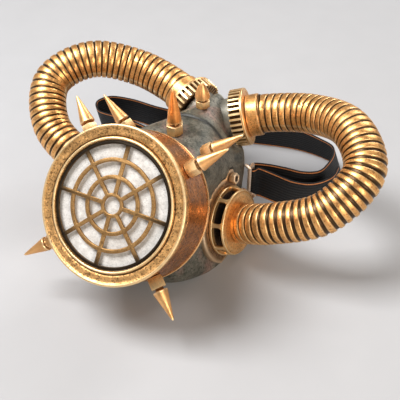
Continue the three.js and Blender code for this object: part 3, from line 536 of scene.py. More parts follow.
def raise_nose_plate(loops, normals):
    """Raises the nose plate in the loops, and gives each point's share of painted shade along the step's
    crease.
    """
    painted_step_shade = []
    for station, loop, row in zip(SHELL_STATIONS, loops, normals):
        for j, normal in enumerate(row):
            from_nose = min(j, len(loop) - j) / SPLIT
            behind = clamped((station - STEP_STATION + STEP_SLOPE / 2) / STEP_SLOPE)
            within = clamped((STEP_ROW + SIDE_SLOPE / 2 - from_nose) / SIDE_SLOPE)
            loop[j] = loop[j] - normal * NOSE_STEP * (behind * within)
            # Painted shade along the step's crease and along the sides of the raised plate
            near_step = clamped(1 - abs(station - STEP_SHADE_STATION) / STEP_SHADE_REACH) * clamped(within * 2)
            near_side = (1 - abs(2 * within - 1)) * behind
            painted_step_shade.append(clamped(1.5 * max(near_step, near_side)))
    return painted_step_shade


OUTER = [shell_loop(float(station)) for station in SHELL_STATIONS]
NORMALS = inward_normals(OUTER)
PAINTED_STEP_SHADE = raise_nose_plate(OUTER, NORMALS)

# The bolt: its turn round the port, its ear in the plate, its room in the shell, and how far that reaches
BOLT_TURN = radians(97)
EAR_RADIUS = 6
BOLT_ROOM = 7
PRESS_DEPTH = 20


def bolt_place(sign):
    """The bolt's place at the cheek plate's edge, above the port."""
    axis = mirrored(CAGE_AXIS, sign)
    back = (Y_AXIS - axis * axis.dot(Y_AXIS)).normalized()
    up = axis.cross(back) * sign
    radius = PLATE_RADIUS - 1
    place = mirrored(CAGE_PLACE, sign)
    return place + back * radius * cos(BOLT_TURN) + up * radius * sin(BOLT_TURN)


def pressed(point):
    """How far a point of the shell goes in, along the port's axis, so that the cheek plates lie free."""
    for side, sign in SIDES:
        axis = mirrored(CAGE_AXIS, sign)
        for place, reach in ((mirrored(CAGE_PLACE, sign), PLATE_RADIUS + 1), (bolt_place(sign), BOLT_ROOM)):
            offset = point - place
            height = offset.dot(axis)
            if -GAP < height < PRESS_DEPTH and (offset - axis * height).length < reach:
                return -axis * (height + GAP)
    return Vector((0, 0, 0))


def make_shell():
    """The hollow shell. Its skin is pressed in under the cheek plates, where it is painted in shade."""
    inner = [[p + Vector((0, WALL, 0)) for p in OUTER[0]]]
    inner += [[p + n * WALL for p, n in zip(loop, row)] for loop, row in zip(OUTER[1:], NORMALS[1:])]
    shade = []
    for outer_loop, inner_loop in zip(OUTER, inner):
        for j, point in enumerate(outer_loop):
            move = pressed(point)
            # Painted shade: the nose step's crease, and the skin pressed in under the cheek plates
            shade.append(max(0.85 * PAINTED_STEP_SHADE[len(shade)], 0.95 if move.length > 0 else 0.0))
            outer_loop[j] = grounded(point + move)
            inner_loop[j] = grounded(inner_loop[j] + move)
    rim = [a.lerp(b, 0.5) for a, b in zip(OUTER[-1], inner[-1])]
    loops = OUTER + [rim] + inner[::-1]
    points = [tuple(p) for loop in loops for p in loop]
    shade += [0.0] * (len(points) - len(shade))
    wear = [0.9 if loop is OUTER[-1] or loop is rim else 0.0 for loop in loops for p in loop]
    made = points, grid(len(loops), len(rim), True), {"wear": wear, "shade": shade}
    piece("mask_shell", made, SHELL_PAINT, ["shell"], sharp=50, slot="shell")


make_shell()


def skin_tree():
    """The outer skin for finding seats, carried on behind the rim."""
    behind = [p + Vector((0, 40, 0)) for p in OUTER[-1]]
    loops = OUTER + [behind]
    points = [p for loop in loops for p in loop]
    return BVHTree.FromPolygons(points, grid(len(loops), len(behind), False))


SKIN = skin_tree()


def drop_to_skin(spot, direction, reach=40):
    """The distance from a spot to the shell's skin, along a direction."""
    return SKIN.ray_cast(spot, direction, reach)[3]


# Cheek pads: depth, painted-shade middle, room above the ground, and how far back they reach as the mask
# stands
PAD_DEPTH = 9
PAD_SHADE_RADIUS = 20
PAD_ROOM = 0.8
PAD_BACK = 91.5
# Necks under the toothed collars: radius, place behind the collar, and depth
NECK_RADIUS = 14.5
NECK_BEHIND = 2.3
NECK_DEPTH = 8
PAD_POINTS = 144


def port_foot(place, axis, outline, depth_limit, rounding=0.9):
    """A raised pad: a flat top with a rounded edge, and sides that run down into the shell's skin."""
    matrix = placed(place, axis)
    loops = [[(x * share, 0.0, z * share) for x, z in outline] for share in (0.0, 0.35, 0.7, 0.9)]
    for k in range(5):
        angle = k / 4 * pi / 2
        inset, drop = rounding * (1 - sin(angle)), rounding * (1 - cos(angle))
        keeps = [(hypot(x, z) - inset) / hypot(x, z) for x, z in outline]
        loops.append([(x * keep, -drop, z * keep) for (x, z), keep in zip(outline, keeps)])
    for share in (1.0, 0.8, 0.5, 0.0):
        ring = []
        for x, z in outline:
            reach = drop_to_skin(matrix @ Vector((x * share, 0, z * share)), -axis, depth_limit)
            depth = depth_limit if reach is None else min(reach + 1.2, depth_limit)
            ring.append((x * share, -depth, z * share))
        loops.append(ring)
    points = [p for loop in loops for p in loop]
    marks = {"wear": [wear for wear in [0.0] * 4 + [0.8] * 5 + [0.0] * 4 for p in outline]}
    points, faces, marks = moved((points, grid(len(loops), len(outline), False), marks), matrix)
    return [tuple(grounded(Vector(p))) for p in points], faces, marks


def plate_outline(sign):
    """The round cheek plate, widened at its bolt and cut above the ground and before the strap."""
    matrix = placed(mirrored(CAGE_PLACE, sign), mirrored(CAGE_AXIS, sign))
    ear = matrix.inverted() @ bolt_place(sign)
    outline = []
    for i in range(PAD_POINTS):
        angle = 2 * pi * i / PAD_POINTS
        reach = PLATE_RADIUS
        toward = Vector((cos(angle), sin(angle)))
        along = toward.dot(Vector((ear.x, ear.z)))
        off = abs(toward.x * ear.z - toward.y * ear.x)
        if along > 0 and off < EAR_RADIUS:
            reach = max(reach, along + sqrt(EAR_RADIUS**2 - off * off))
        while reach > 1:
            spot = matrix @ Vector((toward.x * reach, 0, toward.y * reach))
            height = spot.dot(GROUND_UP)
            back = spot.y * cos(LEAN) + spot.z * sin(LEAN)
            if height > GROUND + PAD_ROOM and back < PAD_BACK:
                break
            reach -= 0.1
        outline.append((toward.x * reach, toward.y * reach))
    return outline


def make_port_feet():
    for side, sign in SIDES:
        centre = mirrored(CAGE_PLACE, sign)
        pad = port_foot(centre, mirrored(CAGE_AXIS, sign), plate_outline(sign), PAD_DEPTH)
        # Painted shade on the pad's middle, seen through the cage's windows
        pad[2]["shade"] = [0.9 if (Vector(p) - centre).length < PAD_SHADE_RADIUS else 0.0 for p in pad[0]]
        piece(f"cheek_pad_{side}", pad, BRONZE, [f"cheek_plate_{side}"], sharp=50, slot="shell")
        out = mirrored(GEAR_AXIS, sign)
        neck_place = mirrored(GEAR_PLACE, sign) - out * NECK_BEHIND
        neck = port_foot(neck_place, out, ring_loop(NECK_RADIUS, 72), NECK_DEPTH)
        # The neck is painted half in shade, like the shell beside the collar
        neck[2]["shade"] = [0.5] * len(neck[0])
        piece(f"nose_neck_{side}", neck, SHELL_PAINT, [f"nose_port_{side}"], sharp=50, slot="shell")


make_port_feet()


# Canister
# The cup's profile: radius, along, rounding and wear of each corner
CUP_PROFILE = [
    (42.7, 6.3, 0.2, 0), (45.2, 6.3, 0.2, 0), (45.2, 33.3, 0.4, 0), (46, 34.1, 0.5, 1), (46, 35.5, 0.6, 1),
    (45.2, 36.3, 0.4, 0.6), (27.4, 36.3, 0.5, 0), (27.4, 40.5, 0.5, 0.3), (25, 40.5, 0.5, 0.3),
    (25, 33.8, 0.5, 0), (42.7, 33.8, 0.8, 0),
]
# The ring's profile, over its lip, groove, band and bead to its skirt: radius, along, wear and shade
RING_PROFILE = [
    (36.9, 3.9, 0, 0.7), (36.9, 1.1, 0, 0), (37.1, 0.45, 0, 0), (37.5, 0.08, 1, 0), (37.9, 0.0, 1, 0),
    (38.3, 0.12, 1, 0), (38.6, 0.5, 0.4, 0), (38.75, 1.1, 0, 0), (39.0, 1.45, 0, 0.85), (39.4, 1.4, 0, 0.85),
    (39.8, 1.12, 0, 0), (40.8, 1.02, 0, 0), (42.0, 0.92, 0, 0), (43.2, 0.86, 0, 0), (43.7, 0.72, 0, 0),
    (44.2, 0.32, 0, 0), (44.7, 0.08, 0.9, 0), (45.2, 0.05, 0.9, 0), (45.65, 0.3, 1, 0), (45.95, 0.8, 0.8, 0),
    (46.0, 1.5, 0, 0), (46.0, 2.6, 0, 0), (45.9, 3.4, 0, 0), (45.5, 4.0, 0, 0), (45.2, 4.4, 0, 0),
    (45.2, 6.0, 0, 0), (42.7, 6.0, 0, 0), (42.7, 3.9, 0, 0),
]
RING_BAND = (39.7, 43.4)
RING_TURN = 240
FELT_FRONT = 4.2
WEB_SPOKES = 8
WEB_BARS = ((7.1, 14.9), (17.3, 24.7), (27.1, 34.7))
# Where the painted shade on the web's outer rim begins
WEB_SHADE_RADIUS = 34.4
SPOKE_HALF = 1.2
HOLE_STEPS = 14


def make_canister():
    piece("canister_body", turned(softened(CUP_PROFILE), 180), COPPER, ["canister_cup"], slot="copper")
    points, faces, marks = turned([row[:3] for row in RING_PROFILE], RING_TURN)
    marks["shade"] = [row[3] for row in RING_PROFILE for k in range(RING_TURN)]
    dented = []
    for x, y, z in points:
        depth = 0.0
        if RING_BAND[0] < hypot(x, z) < RING_BAND[1] and y < 2:
            depth = 0.16 * noise.noise(Vector((x, y, z)) * 0.55) + 0.08 * noise.noise(Vector((x, y, z)) * 1.4)
        dented.append((x, y + depth, z))
    piece("canister_face_ring", (dented, faces, marks), RING_GOLD, ["canister_ring"], sharp=60, slot="gold")


def make_felt():
    rows = [(r, 0.0, 0.0) for r in np.linspace(0, 41.6, 36)]
    rows += [(42.2, 0.3, 0.0), (42.4, 0.9, 0.0), (42.4, 2.6, 0.0), (42.0, 3.0, 0.0), (0.0, 3.0, 0.0)]
    points, faces, marks = turned(rows, 120, False)
    soft = []
    for x, y, z in points:
        lift = noise.noise(Vector((x, 0, z)) * 0.13) * 0.25 + noise.noise(Vector((x, 9, z)) * 0.5) * 0.1
        soft.append((x, FELT_FRONT + y + (lift if y < 0.1 else 0), z))
    piece("filter_felt", (soft, faces, {}), FELT, ["filter_pad"], slot="felt")


def web_hole(inner, outer, index):
    pitch = 2 * pi / WEB_SPOKES
    corners = []
    for radius, is_backwards in ((outer, True), (inner, False)):
        half = pitch / 2 - asin(SPOKE_HALF / radius)
        for i in range(HOLE_STEPS + 1):
            share = 1 - i / HOLE_STEPS if is_backwards else i / HOLE_STEPS
            angle = (index + 0.5) * pitch - half + 2 * half * share
            corners.append((radius * cos(angle), radius * sin(angle)))
    return corners


def make_web():
    loops = [ring_loop(36.6, 144), ring_loop(5, 48)]
    for inner, outer in WEB_BARS:
        loops += [web_hole(inner, outer, i) for i in range(WEB_SPOKES)]
    made = outline_solid(loops, 1.6, 0.45)
    # Painted shade on the web's outer rim, deep in the ring's recess
    made[2]["shade"] = [min(0.96, max(0.0, (hypot(x, y) - WEB_SHADE_RADIUS) / 0.5)) for x, y, z in made[0]]
    place = MASK @ Matrix.Translation((0, 2.9, 0)) @ QUARTER_TURN
    piece("web", made, WEB_PAINT, ["web_grille"], place=place, slot="web")


make_canister()
make_felt()
make_web()

# Spikes: a cone's length and radius, and its nut's flats and height
CANISTER_SPIKE = (18.2, 4.6, 8.4, 6.8)
TALL_CANISTER_SPIKE = (18.2, 4.6, 8.4, 9)
SHOULDER_SPIKE = (20.5, 4.6, 9, 6.8)
RIDGE_SPIKE = (24, 4.6, 10, 6.8)
NOSE_SPIKE = (11.8, 5.1, 9, 5)
NUT_NECK = 1.6
STUD_HOLE = 2.9
CANISTER_SEAT = 45.5
CANISTER_ROW = 14
RIDGE_AXIS = Vector((0, -0.637, 0.771)).normalized()
SHOULDER_AXIS = Vector((0.776, -0.19, 0.6))
SHOULDER_STATION = 0.31
CHEEK_AXIS = Vector((0.96, 0.27, -0.05))
CHEEK_SHARES = (1.093, 0.992, 0.2625)
CHEEK_PROFILE = [(0, 0, 0, 0), (2.6, 0, 0.3, 0.8), (2.6, 1.2, 0.4, 0.4), (0.9, 10.2, 0.5, 0.8), (0, 11, 0, 1)]



def spike(length, radius, stud, belly):
    """A cone with a rounded foot and a blunt tip, on a threaded stud. belly rounds its sides."""
    rows = [(0.0, -stud, 0.0)]
    turns = int(stud / 0.5)
    for i in range(turns + 1):
        rows.append((2.6 if i % 2 else 2.3, -stud + i * stud / turns, 0.0))
    rows += [(radius - 0.75, 0.0, 0.3), (radius - 0.35, 0.12, 1.0), (radius - 0.1, 0.5, 0.6)]
    for share in (0.08, 0.2, 0.35, 0.5, 0.65, 0.8, 0.9):
        bulge = belly * sin(pi * share)
        rows.append(((radius - 0.55) * (1 - share) + 0.55 + bulge, length * share, 0.0))
    rows += [(0.6, length - 0.45, 0.8), (0.35, length - 0.12, 1.0), (0.0, length, 1.0)]
    made = turned(rows, 48, False)
    made[2]["shade"] = [0.7 if y < -0.05 else 0.0 for x, y, z in made[0]]
    return made


def nut(flats, height):
    """A hex nut with rounded corners on a thin round washer face."""
    reach = flats / 2 / cos(pi / 6)
    body = outline_solid([ring_loop(reach, 6), ring_loop(STUD_HOLE, 32)], height * 0.94, 0.4)
    body[2]["wear"] = [0.9 if z > height * 0.94 - 0.4 else 0.1 for x, y, z in body[0]]
    body = moved(body, Matrix.Translation((0, 0, height * 0.06)))
    washer = outline_solid([ring_loop(flats * 0.5, 40), ring_loop(STUD_HOLE, 32)], height * 0.14, 0.12)
    return joined([body, washer])


def add_spike(kind, end, place, axis, size, look=SPIKE_GOLD, slot="gold", belly=0.0):
    """A nut that stands on the place, and the cone with its stud in it."""
    length, radius, flats, height = size
    stud = height + NUT_NECK
    piece(f"{kind}{end}_spike_cone", spike(length, radius, stud, belly), look, [f"{kind}_spike{end}"],
          place=MASK @ placed(place + axis * stud, axis), slot=slot)
    piece(f"{kind}{end}_spike_nut", nut(flats, height), GOLD, [f"{kind}_nut{end}"],
          place=MASK @ placed(place, axis, Z_AXIS), slot="gold")


def seat(above, axis, foot_radius):
    """The lowest seat for a flat round foot that stays clear of the shell all round."""
    side = Z_AXIS.cross(axis).normalized()
    other = axis.cross(side)
    spots = [above] + [
        above + (side * cos(a) + other * sin(a)) * foot_radius
        for a in np.linspace(0, 2 * pi, 10, endpoint=False)
    ]
    reaches = [drop_to_skin(spot, -axis, 200) for spot in spots]
    nearest = min(reach for reach in reaches if reach is not None)
    return above + axis * (GAP - nearest)


def nut_foot(size):
    return size[2] / 2 / cos(pi / 6)


def make_spikes():
    for i, turn in enumerate((42.6, 132.6, 221.5, 314), 1):
        size = TALL_CANISTER_SPIKE if i == 3 else CANISTER_SPIKE
        axis = Vector((cos(radians(turn)), 0, sin(radians(turn))))
        add_spike("canister", f"_{i}", axis * CANISTER_SEAT + Y_AXIS * CANISTER_ROW, axis, size)
    for kind, station, size, look, slot, belly in (
        ("ridge", 0.44, RIDGE_SPIKE, ORANGE, "orange_copper", 0.35),
        ("nose", 0.79, NOSE_SPIKE, SPIKE_GOLD, "gold", 0.9),
    ):
        above = shell_spot(SHELL_ROWS[0], station) + RIDGE_AXIS * size[0]
        place = seat(above, RIDGE_AXIS, nut_foot(size))
        add_spike(kind, "", place, RIDGE_AXIS, size, look, slot, belly)
    for side, sign in SIDES:
        axis = mirrored(SHOULDER_AXIS, sign).normalized()
        start = mirrored(shell_spot(SHELL_ROWS[3], SHOULDER_STATION), sign)
        place = seat(start + axis * SHOULDER_SPIKE[0], axis, nut_foot(SHOULDER_SPIKE))
        add_spike("shoulder", f"_{side}", place, axis, SHOULDER_SPIKE)
        out = mirrored(CHEEK_AXIS, sign).normalized()
        place = MASK @ placed(seat(mirrored(shell_point(*CHEEK_SHARES), sign), out, CHEEK_PROFILE[1][0]), out)
        cone = turned(softened(CHEEK_PROFILE, False), 32, False)
        piece(f"cheek_cone_{side}", cone, PALE, [f"cheek_spike_{side}"], place=place, slot="gold")


make_spikes()

# Upper ports. The teeth start 2.4 mm before the solid's and run over the port's neck.
GEAR_SINK = 2.4
TOOTH_HEIGHT = 2.2


def make_gear():
    """A collar with square teeth towards the mask and a plain flange towards the hose."""
    root, tip = GEAR_RADIUS - TOOTH_HEIGHT, GEAR_RADIUS
    pitch = 2 * pi / GEAR_TEETH
    outline = []
    for i in range(GEAR_TEETH):
        for radius, share in ((root, -0.24), (tip, -0.19), (tip, 0.19), (root, 0.24)):
            angle = (i + share) * pitch
            outline.append((radius * cos(angle), radius * sin(angle)))
    teeth = outline_solid([outline, ring_loop(HOSE_BORE, 64)], 5.6 + GEAR_SINK, 0.25)
    teeth = moved(teeth, Matrix.Translation((0, 0, -GEAR_SINK)))
    teeth[2]["shade"] = [0.9 if 15 < hypot(x, y) < root + 0.25 else 0.0 for x, y, z in teeth[0]]
    teeth[2]["wear"] = [1.0 if hypot(x, y) > tip - 0.35 else 0.0 for x, y, z in teeth[0]]
    rows = softened([
        (HOSE_BORE, 5.5, 0.2, 0), (tip, 5.5, 0.3, 0.9), (tip, 7.1, 0.5, 0.9),
        (tip - 1.5, GEAR_LENGTH, 0.6, 0.5), (HOSE_BORE, GEAR_LENGTH, 0.2, 0),
    ])
    return joined([teeth, moved(turned(rows), QUARTER_TURN)])


def make_sleeve():
    step = SLEEVE_RADIUS - 0.9
    rows = softened([
        (HOSE_BORE, 0, 0.2, 0), (SLEEVE_RADIUS, 0, 0.5, 0.6), (SLEEVE_RADIUS, SLEEVE_LENGTH - 1.6, 0.3, 0.3),
        (step, SLEEVE_LENGTH - 1.2, 0.2, 0), (step, SLEEVE_LENGTH, 0.2, 0),
        (HOSE_BORE, SLEEVE_LENGTH, 0.2, 0),
    ])
    made = turned(rows)
    made[2]["shade"] = [0.8 if y > SLEEVE_LENGTH - 1.1 else 0.0 for x, y, z in made[0]]
    return made


# Lower ports. The cage's bars are given by heights and half widths.
CAGE_BARS = 8
BAR_SHAPE = ((1.2, 2.4), (2.0, 1.6), (3.2, 1.25), (5.6, 1.2), (6.8, 1.6), (7.6, 2.3))
BAR_THICKNESS = 2.2


def cage_bar(angle):
    """A bar of the cage between its foot and its end plate, wider at both ends, with painted shade on its
    inner side.
    """
    points = []
    for height, half in BAR_SHAPE:
        outer = CAGE_RADIUS + (CAGE_END_RADIUS - CAGE_RADIUS) * height / CAGE_DEPTH
        inner = outer - BAR_THICKNESS
        section = (outer - 0.4, -1), (outer, -0.72), (outer, 0.72), (outer - 0.4, 1), (inner, 1), (inner, -1)
        for radius, side in section:
            points.append((radius * cos(angle) - side * half * sin(angle), height,
                           radius * sin(angle) + side * half * cos(angle)))
    rows = len(BAR_SHAPE)
    marks = {"wear": [0.6, 0.9, 0.9, 0.6, 0.0, 0.0] * rows, "shade": [0, 0, 0, 0, 0.9, 0.9] * rows}
    return points, tube(rows, len(section)), marks


def make_cage():
    foot = turned(softened([
        (18.9, 0, 0.2, 0), (CAGE_RADIUS, 0, 0.3, 0.9), (CAGE_RADIUS - 0.1, 1.6, 0.5, 1.0),
        (CAGE_RADIUS - 2.4, 1.7, 0.3, 0.5), (18.9, 1.2, 0.2, 0),
    ]), 120)
    foot[2]["shade"] = [0.9 if hypot(x, z) < 20.4 else 0.0 for x, y, z in foot[0]]
    end = turned(softened([
        (HOSE_BORE, 7.3, 0.2, 0), (CAGE_END_RADIUS - 0.5, 7.3, 0.3, 0.5), (CAGE_END_RADIUS, 7.9, 0.4, 1.0),
        (CAGE_END_RADIUS - 0.3, 8.9, 0.6, 1.0), (CAGE_END_RADIUS - 2.6, CAGE_DEPTH, 0.8, 0.3),
        (HOSE_BORE, CAGE_DEPTH, 0.2, 0),
    ]), 120)
    end[2]["shade"] = [0.9 if y < 7.5 and hypot(x, z) < 20.5 else 0.0 for x, y, z in end[0]]
    return joined([foot, end] + [cage_bar(k * 2 * pi / CAGE_BARS) for k in range(CAGE_BARS)])


def make_bolt():
    body = outline_solid([ring_loop(3.8, 6), ring_loop(2.0, 32)], 4.0, 0.4)
    body[2]["wear"] = [1.0 if z > 3.5 else 0.2 for x, y, z in body[0]]
    rows = [(0, 0, 0), (2.0, 0, 0), (2.0, 3.5, 0), (1.6, 3.9, 0), (0, 3.9, 0)]
    screw = moved(turned(rows, 32, False), QUARTER_TURN)
    screw[2]["shade"] = [0.75] * len(screw[0])
    return joined([body, screw])


# Hoses
HOSE_ROUTE = [(66, 112.2, 84.1), (97.9, 95.4, 80), (115.6, 81.7, 57.2), (102, 74.6, 27.6), (72.6, 77, 10.9)]
HOSE_RIBS = 42
HOSE_TURN = 56
HOSE_STEPS = 2000
BORE_STEP = 25
RIB_DEPTH = 0.8
RIB_STRETCH = 0.022
SEAM_HEIGHT = 0.22


def groove_share(place, sign):
    """The share of a rib's pitch that its groove takes. It is widest on the right hose's lower run."""
    lower = (0.34, 0.36) if sign > 0 else (0.24, 0.26)
    return float(np.interp(place, [0, 0.3, 0.5, 0.84, 0.93, 1], [0.2, 0.2, *lower, 0.2, 0.16]))


def hose_rows(sign):
    """Rows along the hose: the share of its length, the depth below the ribs' tops, and its share of painted
    shade.
    """
    rows = []
    for rib in range(HOSE_RIBS):
        half = groove_share(rib / HOSE_RIBS, sign) / 2
        cuts = [(0.0, RIB_DEPTH, 1), (half, RIB_DEPTH * 0.95, 1), (half + 0.02, 0.4, 0.5),
                (half + 0.06, 0.12, 0), (half + 0.12, 0.01, 0)]
        for share, depth, groove in cuts + [(1 - s, d, g) for s, d, g in cuts[:0:-1]]:
            bent = (rib + share) / HOSE_RIBS
            rows.append((bent + RIB_STRETCH * sin(pi * bent) * (1 - 2 * bent), depth, groove))
    return rows + [(1.0, RIB_DEPTH, 1)]


def make_hose(sign, upper_reach, lower_reach):
    """A ribbed tube with two fine seams and an open bore. Its ends lie on the axes of both ports."""
    upper, lower = mirrored(GEAR_AXIS, sign), mirrored(CAGE_AXIS, sign)
    start = mirrored(GEAR_PLACE, sign) + upper * upper_reach
    end = mirrored(CAGE_PLACE, sign) + lower * lower_reach
    middle = [mirrored(Vector(p), sign) for p in HOSE_ROUTE]
    fine = even_path(smooth_curve([start, start + upper * 2, *middle, end + lower * 2, end]), HOSE_STEPS + 1)
    rows = hose_rows(sign)
    loops, shade, wear = [], [], []
    for share, depth, groove in rows:
        ring = []
        for k in range(HOSE_TURN):
            angle = 2 * pi * k / HOSE_TURN
            seam = SEAM_HEIGHT if k in (0, HOSE_TURN // 2) and groove < 0.5 else 0.0
            radius = HOSE_RADIUS - depth + seam
            ring.append((radius * cos(angle), radius * sin(angle)))
            # Painted shade in the grooves between the ribs
            shade.append(0.93 * groove)
            wear.append(0.55 if 0.1 < depth < 0.2 else (0.8 if seam else 0.0))
        loops.append(ring)
    outside = swept([fine[round(row[0] * HOSE_STEPS)] for row in rows], loops, {"shade": shade, "wear": wear})
    inner_path = fine[::BORE_STEP]
    bore = [ring_loop(HOSE_BORE, HOSE_TURN)] * len(inner_path)
    # Painted shade inside the bore
    inside = swept(inner_path, bore, {"shade": [0.9] * (len(inner_path) * HOSE_TURN)})
    made = joined([outside, inside])
    first, last = len(outside[0]), len(outside[0]) + len(inside[0]) - HOSE_TURN
    for a, b in ((0, first), (len(outside[0]) - HOSE_TURN, last)):
        for k in range(HOSE_TURN):
            after = (k + 1) % HOSE_TURN
            made[1].append((a + k, a + after, b + after, b + k))
    return made


def make_ports():
    sleeve_start = GEAR_LENGTH + 2 * GAP
    for side, sign in SIDES:
        gear, upper = mirrored(GEAR_PLACE, sign), mirrored(GEAR_AXIS, sign)
        cage, lower = mirrored(CAGE_PLACE, sign), mirrored(CAGE_AXIS, sign)
        for name, made, look, node, spot, axis, own in (
            ("toothed_collar", make_gear(), GOLD, "gear_collar", gear + upper * GAP, upper, Z_AXIS),
            ("hose_sleeve", make_sleeve(), GOLD, "upper_sleeve", gear + upper * sleeve_start, upper, Y_AXIS),
            ("hose_cage", make_cage(), GOLD, "port_cage", cage + lower * GAP, lower, Y_AXIS),
            ("plate_bolt", make_bolt(), BRONZE, "port_bolt", bolt_place(sign) + lower * GAP, lower, Z_AXIS),
        ):
            place = MASK @ placed(spot, axis, own)
            piece(f"{name}_{side}", made, look, [f"{node}_{side}"], place=place, slot="gold")
        hose = make_hose(sign, sleeve_start + SLEEVE_LENGTH + GAP, CAGE_DEPTH + 2 * GAP)
        piece(f"ribbed_hose_{side}", hose, HOSE_GOLD, [f"hose_{side}"], sharp=60, slot="hose")


make_ports()

# Bails, in the standing frame: X across, Y back, height above the ground
BAIL_X, BAIL_FRONT, BAIL_LOW = 38.5, 106.52, 15.5
BAIL_WIDTH, BAIL_BAR_DEPTH, BAIL_MARGIN = 2.4, 2.8, 0.8
BAIL_BACK = BAIL_FRONT + BAIL_BAR_DEPTH + STRAP_THICKNESS + 2 * GAP
BAIL_HIGH = BAIL_LOW + STRAP_WIDTH + 2 * BAIL_MARGIN + BAIL_WIDTH
BAIL_FOOT_GAP = 3.7
WIRE_RADIUS = 1.25
WIRE_SIDES = 20
WIRE_END = ((-1.0, 0.55), (-0.85, 0.8), (-0.5, 0.95), (0.0, 1.0))


def rim_at_height(height):
    """The middle of the right cheek's rim at a height above the ground, in the standing frame."""
    half = len(OUTER[-1]) // 2
    turn = Matrix.Rotation(-LEAN, 4, "X")
    rim = [turn @ (p + n * WALL / 2) for p, n in zip(OUTER[-1][: half + 1], NORMALS[-1][: half + 1])]
    for above, below in zip(rim, rim[1:]):
        if below.z - GROUND < height:
            return above.lerp(below, (above.z - GROUND - height) / (above.z - below.z))


def wire(start, end):
    direction = (end - start).normalized()
    path = [start + direction * reach for reach, size in WIRE_END]
    path += [end - direction * reach for reach, size in WIRE_END[::-1]]
    section = []
    for across, along in ring_loop(1, WIRE_SIDES):
        section.append((copysign(abs(across) ** 0.7, across), copysign(abs(along) ** 0.7, along)))
    sizes = [size * WIRE_RADIUS for reach, size in WIRE_END + WIRE_END[::-1]]
    rings = [[(a * size, b * size) for a, b in section] for size in sizes]
    return swept(path, rings, {"wear": [0.5] * (WIRE_SIDES * len(path))}, True)


def make_bail(sign):
    def corner(y, height):
        return Vector((sign * BAIL_X, y, GROUND + height))

    parts = [wire(corner(y, BAIL_LOW), corner(y, BAIL_HIGH)) for y in (BAIL_FRONT, BAIL_BACK)]
    for height in (BAIL_LOW, BAIL_HIGH):
        foot = mirrored(rim_at_height(height), sign)
        front = corner(BAIL_FRONT, height)
        parts.append(wire(front, corner(BAIL_BACK, height)))
        parts.append(wire(front, foot + (front - foot).normalized() * BAIL_FOOT_GAP))
    return joined(parts)


for side, sign in SIDES:
    piece(f"bail_{side}", make_bail(sign), PALE, [f"strap_bail_{side}"], place=STANDING, sharp=60, slot="bail")

# Strap. Its rows: the lower edge across, back and above the ground, and how far the upper edge leans over it
STRAP_RIGHT_TAIL = [
    (86, 166, 0.6, -2, -4), (84.5, 150, 1.5, 0, -2), (76, 132, 4, 0, -1), (64.5, 122.5, 7.5, 0, 0),
    (53, 118.5, 12, 0, 0),
]
STRAP_RUN = [
    (44.5, 122.5, 15, 0, 0), (56, 128.5, 12, 0, 0), (67, 135, 8, 0, 0), (75.5, 148, 4, -1, -2),
    (79, 168, 1, -3, -6), (80, 186, 0.5, -5, -8), (76, 195, 0.5, -5, -8), (64, 199.5, 0.5, -4, -8),
    (40, 201, 0.5, -2, -6), (6, 193, 0.5, 0, -4), (-35, 180, 0.5, 2, -3), (-75, 176, 0.5, 4, -4),
    (-100, 176, 0.5, 2, -4), (-115, 171, 0.5, -1, -4), (-120, 161, 0.5, -1, -5), (-113, 152, 0.5, 0, -6),
    (-95, 144, 3, 0, -3), (-72, 133, 9, 0, 0), (-50, 122.5, 15, 0, 0),
]
STRAP_LEFT_TAIL = [(-57, 119, 12, 0, 0), (-72, 126.5, 8, 0, 0), (-88, 133, 5, 0, 0)]
STRAP_RIBS = 11
RIB_SINK = 0.16
TURN_STEPS = 6


def strap_turn(sign):
    """The band's turn round a bail, from its outer side over the front to its inner side."""
    low = BAIL_LOW + BAIL_WIDTH / 2 + BAIL_MARGIN
    reach = (BAIL_BAR_DEPTH + STRAP_THICKNESS) / 2 + 2 * GAP
    rows = [(sign * (BAIL_X + reach + 0.6), BAIL_BACK + 3, low - 1, 0, 0)]
    for i in range(TURN_STEPS + 1):
        angle = pi * i / TURN_STEPS
        across = sign * (BAIL_X + reach * cos(angle))
        rows.append((across, BAIL_BACK - reach * sin(angle), low, 0, 0))
    return rows + [(sign * (BAIL_X - reach + 0.6), BAIL_BACK + 4, low, 0, 0)]


def make_strap():
    """One ribbed band with two tails, two turns round the bails and the run behind the mask."""
    rows = STRAP_RIGHT_TAIL + strap_turn(1) + STRAP_RUN + strap_turn(-1)[::-1] + STRAP_LEFT_TAIL
    lower = smooth_curve([(x, y, GROUND + low) for x, y, low, lean_x, lean_y in rows])
    upper = smooth_curve([
        (x + lean_x, y + lean_y, GROUND + low + sqrt(STRAP_WIDTH**2 - lean_x**2 - lean_y**2))
        for x, y, low, lean_x, lean_y in rows
    ])
    steps = (len(rows) - 1) * 7
    columns = STRAP_RIBS * 4
    points, across_mark, along_mark, rib_mark = [], [], [], []
    length = 0.0
    last = lower(0)
    for i in range(steps + 1):
        share = i / steps
        bottom, top = lower(share), upper(share)
        ahead = (lower(min(share + 1e-3, 1)) - lower(max(share - 1e-3, 0))).normalized()
        out = ahead.cross(top - bottom).normalized()
        length += (bottom - last).length
        last = bottom
        for face in (1, -1):
            for k in range(columns + 1)[::face]:
                width = k / columns
                rib = 0.5 - 0.5 * cos(2 * pi * (width * STRAP_RIBS))
                edge = min(1.0, min(width, 1 - width) * 60)
                half = STRAP_THICKNESS / 2 * (0.45 + 0.55 * edge) - RIB_SINK * (1 - rib)
                points.append(tuple(bottom.lerp(top, width) + out * face * half))
                across_mark.append(width)
                along_mark.append(length)
                rib_mark.append(rib)
    marks = {"across": across_mark, "along": along_mark, "rib": rib_mark}
    made = points, tube(steps + 1, 2 * (columns + 1)), marks
    piece("elastic_strap", made, ELASTIC, ["head_strap"], place=STANDING, sharp=70, slot="strap")


make_strap()


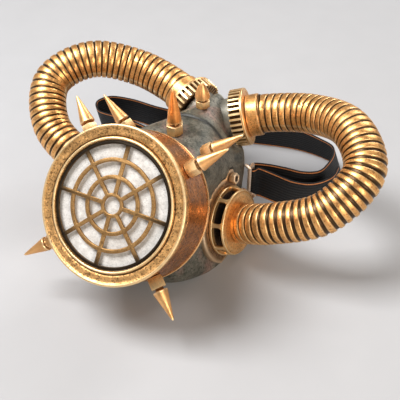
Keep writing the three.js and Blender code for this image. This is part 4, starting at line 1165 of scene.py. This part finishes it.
# Camera, floor and light, in metres
CAMERA_PLACE = Vector((183.3, -328.4, 326.4)) * MM
CAMERA_RIGHT, CAMERA_UP = Vector((0.885, 0.4654, 0.0002)), Vector((-0.297, 0.5632, 0.7713))
CAMERA_LENS = 62.712
FLOOR_HALF = 3
AIM = Vector((0, 0, 0.04))


def camera():
    back = CAMERA_RIGHT.cross(CAMERA_UP).normalized()
    up = back.cross(CAMERA_RIGHT).normalized()
    data = bpy.data.cameras.new("camera")
    data.sensor_width = 36
    data.lens = CAMERA_LENS
    turn = Matrix((CAMERA_RIGHT.normalized(), up, back)).transposed().to_4x4()
    thing = added("camera", data)
    thing.matrix_world = Matrix.Translation(CAMERA_PLACE) @ turn
    bpy.context.scene.camera = thing


def floor():
    mesh = bpy.data.meshes.new("floor")
    corners = [(x * FLOOR_HALF, y * FLOOR_HALF, 0) for x, y in ((-1, -1), (1, -1), (1, 1), (-1, 1))]
    mesh.from_pydata(corners, [], [(0, 1, 2, 3)])
    look = Look("floor_paper", 0.0)
    grain = look.noise(30, 2)
    look.finish(look.mix(grain, (0.40, 0.40, 0.41), (0.43, 0.43, 0.44)), look.ramp(grain, 0.3, 0.7, 0.8, 0.9))
    mesh.materials.append(look.material)
    thing = added("floor", mesh)


def light(name, place, size, power, color=(1, 1, 1)):
    data = bpy.data.lights.new(name, "AREA")
    data.size = size
    data.energy = power
    data.color = color
    turn = (AIM - Vector(place)).to_track_quat("-Z", "Y").to_matrix().to_4x4()
    added(name, data).matrix_world = Matrix.Translation(place) @ turn


bpy.context.scene.view_settings.view_transform = "Standard"
camera()
floor()
light("key", (-0.45, -0.25, 0.95), 0.5, 17)
light("fill", (0.9, -0.6, 0.42), 0.5, 7.5, (1.0, 0.92, 0.82))
light("rim", (0.2, 0.9, 0.75), 0.5, 6)
world = bpy.data.worlds.new("studio")
world.use_nodes = True
background = world.node_tree.nodes["Background"]
background.inputs["Color"].default_value = (1.0, 0.91, 0.82, 1)
background.inputs["Strength"].default_value = 0.22
bpy.context.scene.world = world
